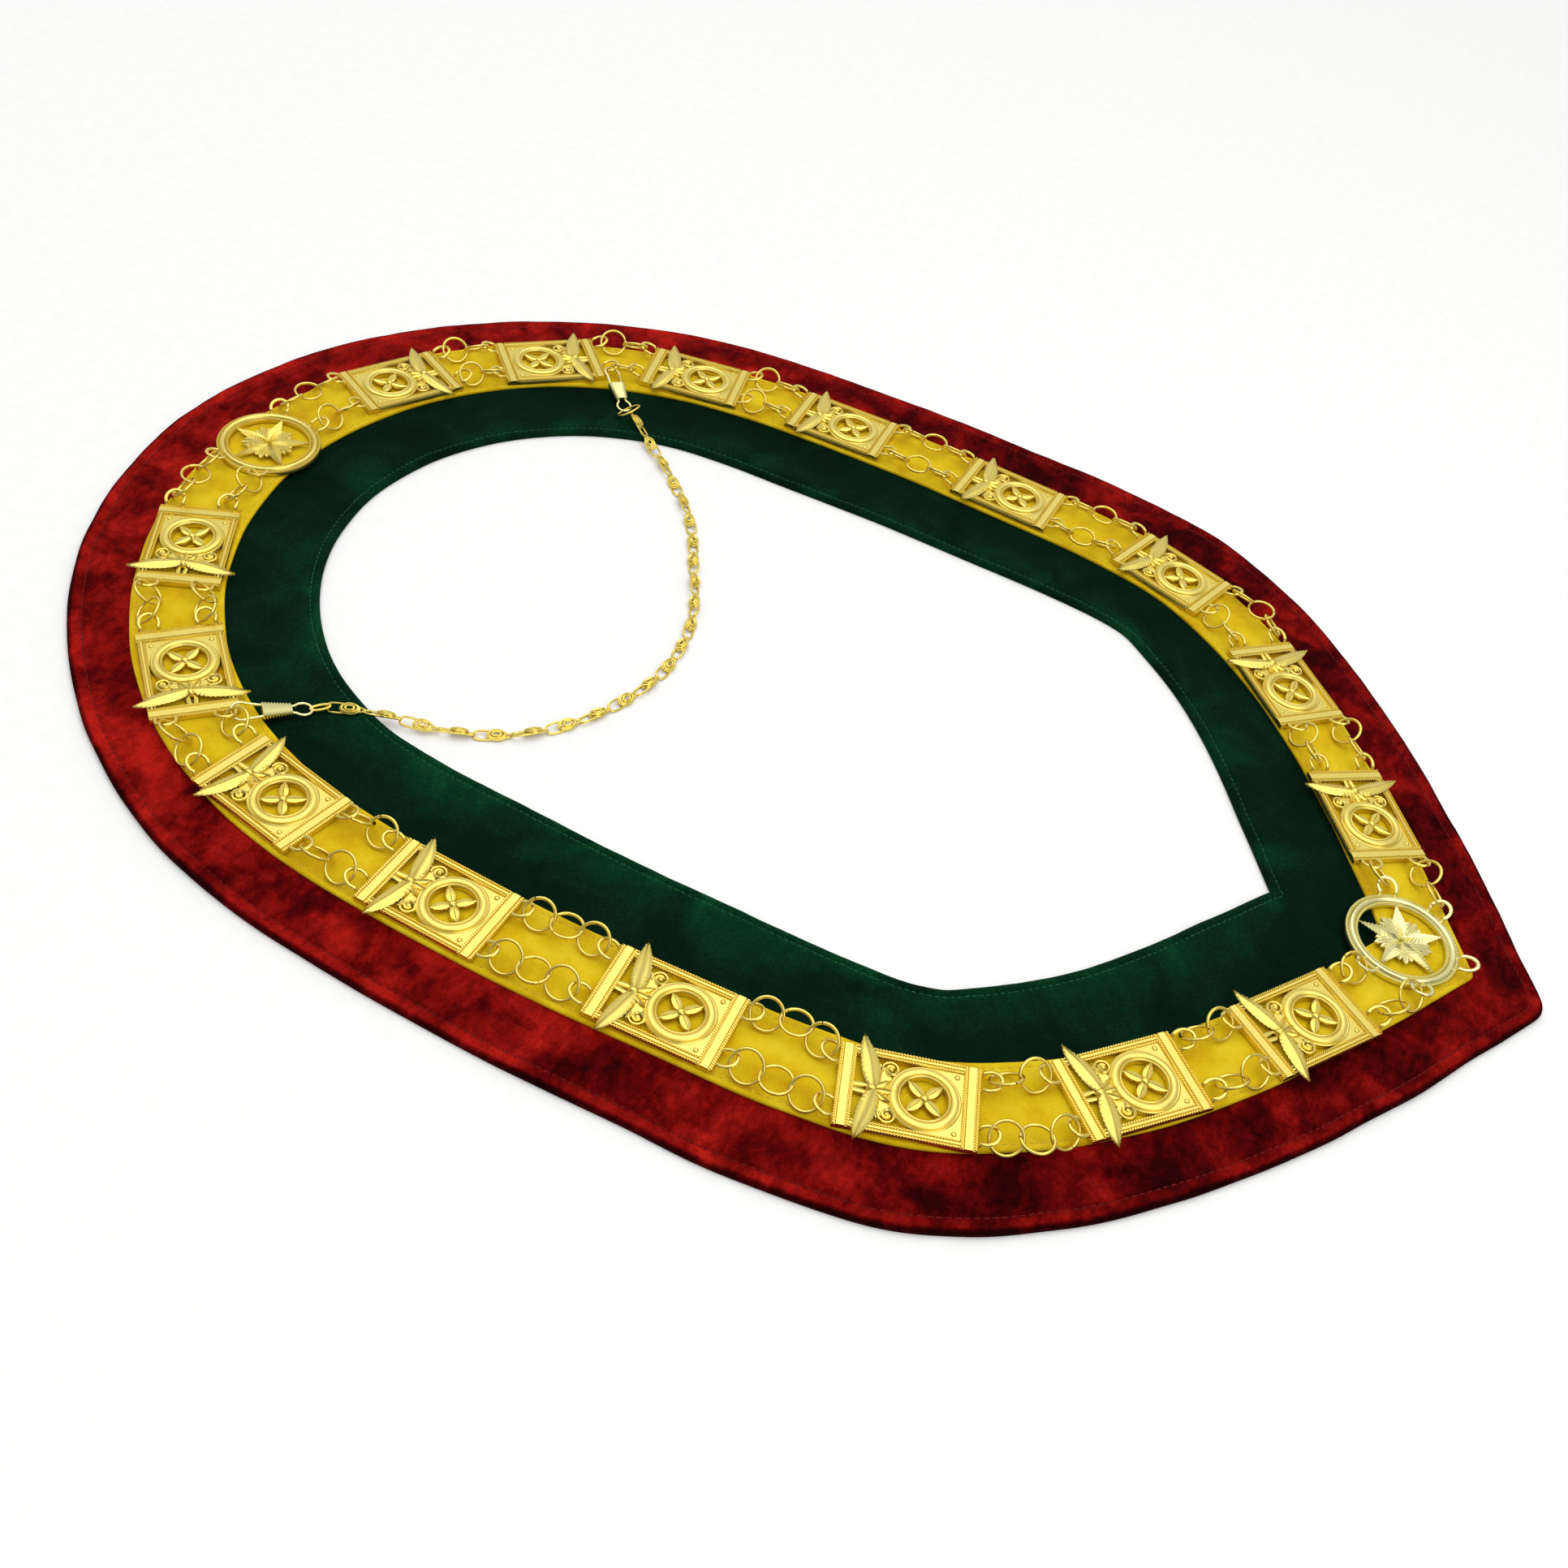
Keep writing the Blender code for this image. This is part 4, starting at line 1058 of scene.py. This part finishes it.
def medallion_casting(with_bottom_eye):
    """Returns a medallion: a moulded rim with milled borders round a star of ribbed rays."""
    casting = Casting()
    inner = MEDALLION_RADIUS - MEDALLION_RIM
    section = (
        # out from the opening, height, in millimetres
        (0.0, 0.2), (0.0, 1.6), (0.15, 1.8), (0.95, 1.8), (1.05, 1.5), (1.25, 2.1),
        (1.7, 2.6), (2.3, 2.8), (2.9, 2.65), (3.4, 2.15), (3.6, 1.5), (3.7, 1.7),
    )
    rim = [(inner + out * MM, height * MM) for out, height in section]
    rim.append((MEDALLION_RADIUS - 0.15 * MM, 1.7 * MM))
    rim += [(MEDALLION_RADIUS, 1.4 * MM), (MEDALLION_RADIUS, 0.2 * MM)]
    casting.skin(turned_rows(Vector(), rim, 96), ring=True)
    mill_circle(casting, inner + 0.53 * MM, 0.42 * MM, 1.7 * MM)
    mill_circle(casting, MEDALLION_RADIUS - 0.44 * MM, 0.44 * MM, 1.6 * MM)
    pitch = FULL_TURN / LONG_RAYS
    for k in range(LONG_RAYS):
        point = math.pi / 2.0 + pitch * k
        ribbed_ray(casting, point, inner + 0.6 * MM)
        fingered_ray(casting, point + pitch / 2.0)
    lean = MEDALLION_EYE_ANGLE
    angles = [lean, -lean, math.pi - lean, math.pi + lean]
    if with_bottom_eye:
        angles.append(-math.pi / 2.0)
    flat = MEDALLION_RADIUS * math.cos(math.pi / MEDALLION_SIDES)
    for angle in angles:
        casting.skin(eye_rows(out_at(angle) * flat, angle))
    return casting


def plate_lie(node):
    """Returns a plate's middle and its direction towards the round moulding, from its solid."""
    points = np.array(low_points(node))
    spread = points - points.mean(axis=0)
    axes = np.linalg.eigh(spread.T @ spread)[1]
    middle = np.zeros(2)
    for axis in axes.T:
        reach = points @ axis
        middle += axis * (reach.min() + reach.max()) / 2.0
    ahead = axes[:, 1]
    if (points.mean(axis=0) - middle) @ ahead > 0.0:
        ahead = -ahead
    return Vector(middle), Vector(ahead)


def medallion_middle(node):
    points = np.array(low_points(node))
    return Vector((points.min(axis=0) + points.max(axis=0)) / 2.0)


def add_plates(satin, bright, pale):
    """Adds the plates and medallions where their solids lie."""
    plate = plate_casting().mesh("plate", [satin, bright])
    for side in ("right", "left"):
        for number in range(1, 9):
            node = f"plate_{side}_{number}"
            middle, ahead = plate_lie(node)
            heading = math.atan2(ahead.y, ahead.x)
            place = Matrix.Translation((*middle, METAL_BOTTOM)) @ Matrix.Rotation(heading, 4, "Z")
            add_piece(f"cast_{node}", plate, [node], place)
    for node, finish in (("medallion_front", pale), ("medallion_back", satin)):
        mesh = medallion_casting(node == "medallion_front").mesh(node, [finish], 30.0)
        place = Matrix.Translation((*medallion_middle(node), METAL_BOTTOM))
        add_piece(f"cast_{node}", mesh, [node], place)


def ring_rows(centre, forward, side, radius, wire):
    """Returns the sections of a split ring of round wire in the plane of forward and side."""
    normal = forward.cross(side).normalized()
    start = random.uniform(0.0, FULL_TURN)
    cut = start + RING_SPLIT, start + FULL_TURN - RING_SPLIT
    return tube_rows(arc(centre, forward, side, radius, radius, *cut, 40), wire, wire, 10, normal)


def strand_rows(start, end, lean, inward):
    """Returns the rings of one strand from eye to eye, by the same rule as the solids."""
    chord = end - start
    ahead = chord.normalized()
    hold = 2.0 * RING_WIRE - FUSE_DEPTH
    link = 2.0 * RING_RADIUS - hold
    count = max(1, round((chord.length - hold) / link))
    if count == 1:
        reach = chord.length / 2.0
        play = clamp(reach - RING_RADIUS, *RING_PLAY)
        centre = Vector((*(start + end) / 2.0, EYE_Z + math.tan(EYE_TILT) * play))
        side = level(inward) * math.cos(LONE_RING_ROLL) + UP * math.sin(LONE_RING_ROLL)
        return [ring_rows(centre, level(ahead), side, reach - play, RING_WIRE)]

    arm = (chord.length - (count - 2) * link) / 2.0
    turn = 0.0
    if count > 2:
        loose = 2.0 * RING_RADIUS + LOOSE_PLAY - hold / 2.0
        turn = min(STRAND_TURN, math.acos(clamp(arm / loose, 0.0, 1.0)))
    reach = arm / math.cos(turn)
    play = clamp(reach + hold / 2.0 - 2.0 * RING_RADIUS, *RING_PLAY)
    near = EYE_Z + math.tan(EYE_TILT) * play
    low = METAL_BOTTOM + RING_WIRE + RING_RADIUS * math.sin(RING_ROLL)
    pitch = math.asin(clamp((low - near) / RING_RADIUS, 0.0, 0.5))
    radius = (reach + hold / 2.0 - play) / (2.0 * math.cos(pitch))
    far = near + 2.0 * radius * math.sin(pitch)
    rings = []
    for eye, away, raised in ((start, ahead, inward), (end, -ahead, -inward if count == 2 else inward)):
        plan = away * math.cos(turn) + lean * math.sin(turn)
        across = (raised - plan * raised.dot(plan)).normalized()
        forward, lift = tipped_up(level(plan), pitch)
        side = level(across) * math.cos(RING_ROLL) + lift * math.sin(RING_ROLL)
        centre = Vector((*(eye + plan * play), near)) + forward * radius
        rings.append(ring_rows(centre, forward, side, radius, RING_WIRE))
    bow = lean * reach * math.sin(turn)
    side = level(inward) * math.cos(MIDDLE_RING_ROLL) - UP * math.sin(MIDDLE_RING_ROLL)
    for k in range(count - 2):
        place = start + ahead * (arm + link * (k + 0.5)) + bow
        rings.append(ring_rows(Vector((*place, far)), level(ahead), side, RING_RADIUS, RING_WIRE))
    return rings


def flip_of(side_name):
    return 1.0 if side_name == "right" else -1.0


def onward_lie(number, side_name):
    """Returns a plate's middle and its direction along the chain from the front to the back."""
    middle, ahead = plate_lie(f"plate_{side_name}_{number}")
    if ahead.dot(Vector((-middle.y, middle.x)) * flip_of(side_name)) < 0.0:
        ahead = -ahead
    return middle, ahead


def plate_eyes(number, side_name, end):
    """Returns the outer and inner eye centres at a plate's end: -1 towards the front, 1 the back."""
    middle, ahead = onward_lie(number, side_name)
    outward = Vector((ahead.y, -ahead.x)) * flip_of(side_name)
    place = middle + ahead * end * (HALF_LENGTH + EYE_REACH)
    return place + outward * EYE_SPREAD, place - outward * EYE_SPREAD


def medallion_eyes(node, side_name):
    """Returns the outer and inner eye centres on one side of a medallion."""
    reach = MEDALLION_RADIUS * math.cos(math.pi / MEDALLION_SIDES) + EYE_REACH
    across = reach * math.cos(MEDALLION_EYE_ANGLE) * flip_of(side_name)
    along = reach * math.sin(MEDALLION_EYE_ANGLE) * (-1.0 if node == "medallion_front" else 1.0)
    middle = medallion_middle(node)
    return middle + Vector((across, along)), middle + Vector((across, -along))


def add_strands(bright):
    """Adds the strands of rings between the plates."""
    for side in ("right", "left"):
        starts = [medallion_eyes("medallion_front", side)]
        ends = []
        for number in range(1, 9):
            ends.append(plate_eyes(number, side, -1.0))
            starts.append(plate_eyes(number, side, 1.0))
        ends.append(medallion_eyes("medallion_back", side))
        for number, (before, after) in enumerate(zip(starts, ends), start=1):
            for edge, row in ((0, "outer"), (1, "inner")):
                ahead = (after[edge] - before[edge]).normalized()
                inward = Vector((-ahead.y, ahead.x)) * flip_of(side)
                lean = -inward if row == "outer" else inward
                casting = Casting()
                for rows in strand_rows(before[edge], after[edge], lean, inward):
                    casting.skin(rows)
                node = f"rings_{side}_{row}_{number}"
                add_piece(f"jump_{node}", casting.mesh(node, [bright]), [node])


def clip_frame(side_name):
    """Returns the eye centre that a clip hooks, and the clip's forward, side and up directions."""
    _, ahead = onward_lie(CLIP_PLATE, side_name)
    _, eye = plate_eyes(CLIP_PLATE, side_name, -1.0)
    inward = level((-ahead.y, ahead.x)) * flip_of(side_name)
    forward, up = tipped_up(inward, -CLIP_PITCH)
    return Vector((*eye, EYE_Z)), forward, level(-ahead), up


def leaning_pitch(room, roll):
    """Returns how far a rolled ring tips up so that its low side drops by no more than the room."""
    steepness = math.sin(roll) ** 2
    root = math.sqrt(room**2 + steepness**2 - steepness * room**2)
    return math.asin(clamp((root - room) / steepness, 0.0, 1.0))


def add_hook(casting, origin, forward, side, up):
    """Adds a clip's hook: wire bent round the eye, with its two arms held in the sleeve."""
    rolled = side * math.cos(HOOK_ROLL) - up * math.sin(HOOK_ROLL)
    centre = origin + forward * HOOK_CENTRE
    half = HOOK_SWEEP / 2.0
    bend = arc(centre, forward, rolled, HOOK_RADIUS, HOOK_RADIUS, math.pi - half, math.pi + half, 24)
    arms = [origin + forward * (SLEEVE_START + MM) + side * flip * 2.6 * MM for flip in (-1.0, 1.0)]
    if (bend[0] - origin).dot(side) > 0.0:
        arms.reverse()
    path = [arms[0], (arms[0] + bend[0]) / 2.0, *bend, (arms[1] + bend[-1]) / 2.0, arms[1]]
    casting.skin(tube_rows(path, HOOK_WIRE, HOOK_WIRE, 10, forward.cross(rolled).normalized()))


def add_sleeve(casting, origin, forward, side, up):
    """Adds a clip's sleeve: a flat tapering barrel of close-wound wire."""
    rows = []
    steps = SLEEVE_TURNS * 6
    for k in range(steps + 1):
        share = k / steps
        wave = SLEEVE_WAVE * (0.5 - 0.5 * math.cos(FULL_TURN * SLEEVE_TURNS * share))
        half_width = SLEEVE_HALF_WIDTH * (1.0 - 0.30 * share) - SLEEVE_WAVE + wave
        half_height = SLEEVE_HALF_THICKNESS - SLEEVE_WAVE + wave
        middle = origin + forward * (SLEEVE_START + SLEEVE_LENGTH * share)
        row = []
        for j in range(16):
            turn = FULL_TURN * j / 16
            x = squared(math.cos(turn), 0.6)
            z = squared(math.sin(turn), 0.8)
            row.append(middle + side * half_width * x + up * half_height * z)
        rows.append(row)
    casting.skin(rows)


def add_clip(side_name, with_jump_ring, pale, bright):
    """Adds a snap clip: a bent wire hook, a wire-wound sleeve and a rear loop."""
    origin, forward, side, up = clip_frame(side_name)
    casting = Casting()
    add_hook(casting, origin, forward, side, up)
    add_sleeve(casting, origin, forward, side, up)
    centre = origin + forward * LOOP_CENTRE
    half = LOOP_SWEEP / 2.0
    rear = arc(centre, forward, side, LOOP_RADIUS, LOOP_RADIUS * 0.92, -half, half, 24)
    seat = origin + forward * (SLEEVE_START + SLEEVE_LENGTH - 0.6 * MM)
    feet = [seat + side * flip * 1.4 * MM for flip in (-1.0, 1.0)]
    casting.skin(tube_rows([feet[0], *rear, feet[1]], LOOP_WIRE * 0.85, LOOP_WIRE * 0.85, 10, up))
    if with_jump_ring:
        near, ahead, across = jump_ring_lie(side_name)
        centre = near + ahead * JUMP_RING_RADIUS
        casting.skin(ring_rows(centre, ahead, across, JUMP_RING_RADIUS, JUMP_RING_WIRE), BRIGHT)
    clip = casting.mesh(f"snap_clip_{side_name}", [pale, bright])
    add_piece(f"snap_clip_{side_name}", clip, [f"clip_{side_name}"])


def jump_ring_lie(side_name):
    """Returns the near end of a clip's jump ring, and its directions away from the clip and across."""
    origin, forward, side, _ = clip_frame(side_name)
    near = origin + forward * (LOOP_CENTRE + LOOP_RADIUS - LOOP_WIRE - JUMP_RING_WIRE + FUSE_DEPTH)
    room = (near.z - VELVET_TOP - FUSE_DEPTH - JUMP_RING_WIRE) / JUMP_RING_RADIUS
    pitch = leaning_pitch(max(room, 0.0), JUMP_RING_ROLL)
    plan = level(forward.xy).normalized()
    ahead, lift = tipped_up(plan, pitch)
    return near, ahead, side * math.cos(JUMP_RING_ROLL) + lift * math.sin(JUMP_RING_ROLL)


def neck_chain_path():
    """Returns the middle line of the neck chain from the left clip to the right one."""
    ends = []
    for side_name, (past, aside) in zip(("left", "right"), NECK_CHAIN_ENDS):
        origin, forward, side, _ = clip_frame(side_name)
        loop = origin + forward * LOOP_CENTRE
        ends.append(loop.xy + forward.xy.normalized() * past + side.xy * aside)
    way = ends[1] - ends[0]
    first, last = NECK_CHAIN_ON_FLOOR
    rows = []
    for k, (across, drop) in enumerate(NECK_CHAIN_ROUTE):
        place = ends[0] + way * across - Vector((0.0, way.x * drop))
        height = 0.0 if first <= k <= last else VELVET_TOP + FUSE_DEPTH
        rows.append((*place, height + NECK_CHAIN_RADIUS))
    path = curve_through(rows, 12)
    for point in path:
        point.z = max(point.z, NECK_CHAIN_RADIUS)
    return path


def plain_link(casting, start, end):
    """Adds a plain long link of round wire from one place to another."""
    middle = (start + end) / 2.0
    travel = (end - start) / 2.0
    side = UP.cross(travel).normalized()
    lift = travel.cross(side).normalized()
    outline = []
    for k in range(32):
        turn = FULL_TURN * k / 32
        across = side * PLAIN_LINK_HALF_WIDTH * squared(math.sin(turn), 0.7)
        outline.append(middle + travel * math.cos(turn) + across)
    casting.skin(tube_rows(outline, PLAIN_LINK_WIRE, PLAIN_LINK_WIRE, 8, lift, ring=True), ring=True)


def scroll_link(casting, middle, travel, lift, length):
    """Adds one link: a wire loop, round at one end and pointed at the other, with a coiled knot on it."""
    side = lift.cross(travel).normalized()
    outline = []
    for k in range(40):
        turn = FULL_TURN * k / 40
        x = (length / 2.0 - LINK_WIRE) * math.cos(turn)
        swell = squared(math.sin(turn), 0.65) * (0.84 - 0.42 * math.cos(turn))
        outline.append(middle + travel * x + side * (LINK_WIDTH / 2.0 - LINK_WIRE) * swell)
    casting.skin(tube_rows(outline, LINK_WIRE, LINK_WIRE, 8, lift, ring=True), ring=True)
    knot = middle + travel * length * 0.10
    # share of the knot's size, rise and wire in millimetres
    for share, rise, wire in ((1.00, 0.25, 0.50), (0.88, 1.00, 0.50), (0.48, 1.25, 0.48)):
        centre = knot + lift * rise * MM
        coil = oval(centre, travel, side, KNOT_LENGTH / 2.0 * share, KNOT_WIDTH / 2.0 * share, 24)
        casting.skin(tube_rows(coil, wire * MM, wire * MM, 8, lift, ring=True), ring=True)


def add_neck_chain(bright):
    """Adds the fine chain, whose links lean to one side and the other by turns."""
    path = neck_chain_path()
    origin, forward, _, _ = clip_frame("left")
    loop_end = origin + forward * (LOOP_CENTRE + LOOP_RADIUS - LOOP_WIRE)
    near, ahead, _ = jump_ring_lie("right")
    path.insert(0, path[0] + (loop_end - path[0]).normalized() * CHAIN_EXTENSION)
    path.append(near + ahead * (2.0 * JUMP_RING_RADIUS - LINK_WIRE))
    along = [0.0]
    for a, b in zip(path, path[1:]):
        along.append(along[-1] + (b - a).length)
    table = np.array([tuple(p) for p in path])

    def at(distance):
        return Vector([np.interp(distance, along, table[:, axis]) for axis in range(3)])

    count = round(along[-1] / LINK_PITCH)
    pitch = along[-1] / count
    casting = Casting()
    for k in range(count):
        travel = (at(pitch * (k + 1)) - at(pitch * k)).normalized()
        side = UP.cross(travel).normalized()
        roll = math.radians(random.uniform(*LINK_LEAN)) * (1.0 if k % 2 else -1.0)
        lift = travel.cross(side) * math.cos(roll) + side * math.sin(roll)
        reach = LINK_WIRE + (LINK_WIDTH / 2.0 - LINK_WIRE) * abs(math.sin(roll))
        middle = at(pitch * (k + 0.5)) - UP * (NECK_CHAIN_RADIUS - reach)
        scroll_link(casting, middle, travel, lift, pitch + LINK_OVERLAP)
    plain_link(casting, loop_end, path[0] + (path[1] - path[0]).normalized() * MM)
    piece = casting.mesh("scroll_link_chain", [bright])
    add_piece("scroll_link_chain", piece, ["neck_chain"])


def add_floor():
    """Adds the board that the collar lies on."""
    floor = bpy.data.meshes.new("board")
    half = 6.0
    corners = [(-half, -half, 0.0), (half, -half, 0.0), (half, half, 0.0), (-half, half, 0.0)]
    floor.from_pydata(corners, [], [(0, 1, 2, 3)])
    floor.materials.append(table_board())
    board = add_object("board", floor)


def add_light(name, place, target, size, power):
    """Adds a square white soft box that faces the target."""
    data = bpy.data.lights.new(name, "AREA")
    data.shape = "SQUARE"
    data.size = size
    data.energy = power
    light = add_object(name, data)
    light.location = place
    light.rotation_mode = "QUATERNION"
    light.rotation_quaternion = (Vector(target) - Vector(place)).to_track_quat("-Z", "Y")


def add_studio():
    """Adds a room that is bright beyond the collar and dim behind the camera, and soft boxes."""
    world = bpy.data.worlds.new("studio")
    world.use_nodes = True
    tree = world.node_tree
    sky = add_node(tree, "TexCoord", {}).outputs["Generated"]
    beyond = add_node(tree, "VectorMath", {0: sky, 1: (0.67, 0.19, 0.72)}, operation="DOT_PRODUCT")
    share = add_node(tree, "MapRange", {"Value": beyond.outputs["Value"], "From Min": -1.0})
    greys = [(0.1, "#606060"), (0.5, "#989898"), (0.8, "#D0D0D0"), (1.0, "#DEDEDE")]
    ramp = add_node(tree, "ValToRGB", {"Fac": share}, greys)
    fill_sockets(tree, tree.nodes["Background"], {"Color": ramp, "Strength": 1.20})
    bpy.context.scene.world = world

    add_light("top_box", (0.25, 0.20, 2.20), (0.10, 0.05, 0.0), 3.20, 27.5)
    add_light("side_box", (-0.55, -0.95, 0.90), (0.0, 0.0, 0.0), 1.00, 3.2)
    bpy.context.scene.view_settings.view_transform = "Standard"


def add_camera():
    """Adds the camera where the photograph was taken from."""
    data = bpy.data.cameras.new("camera")
    data.lens = LENS
    data.sensor_width = 36.0
    data.clip_start = 0.01
    camera = add_object("camera", data)
    right = CAMERA_LOOK.cross(CAMERA_UP).normalized()
    up = right.cross(CAMERA_LOOK).normalized()
    turned = Matrix((right, up, -CAMERA_LOOK.normalized())).transposed()
    camera.matrix_world = Matrix.Translation(CAMERA_PLACE) @ turned.to_4x4()
    bpy.context.scene.camera = camera


satin_gilt = gilt_brass("satin_gilt_brass", "#E2CC64", "#EAD676", 0.29, 0.6 * MM, 0.008 * MM)
bright_gilt = gilt_brass("bright_gilt_brass", "#E4CA5C", "#ECD670", 0.16, 0.8 * MM, 0.006 * MM)
pale_gilt = gilt_brass("pale_gilt_brass", "#E4DC98", "#ECE6AC", 0.24, 0.6 * MM, 0.006 * MM)
add_studio()
add_camera()
add_floor()
add_cloth()
add_plates(satin_gilt, bright_gilt, pale_gilt)
add_strands(bright_gilt)
add_clip("right", True, pale_gilt, bright_gilt)
add_clip("left", False, pale_gilt, bright_gilt)
add_neck_chain(bright_gilt)
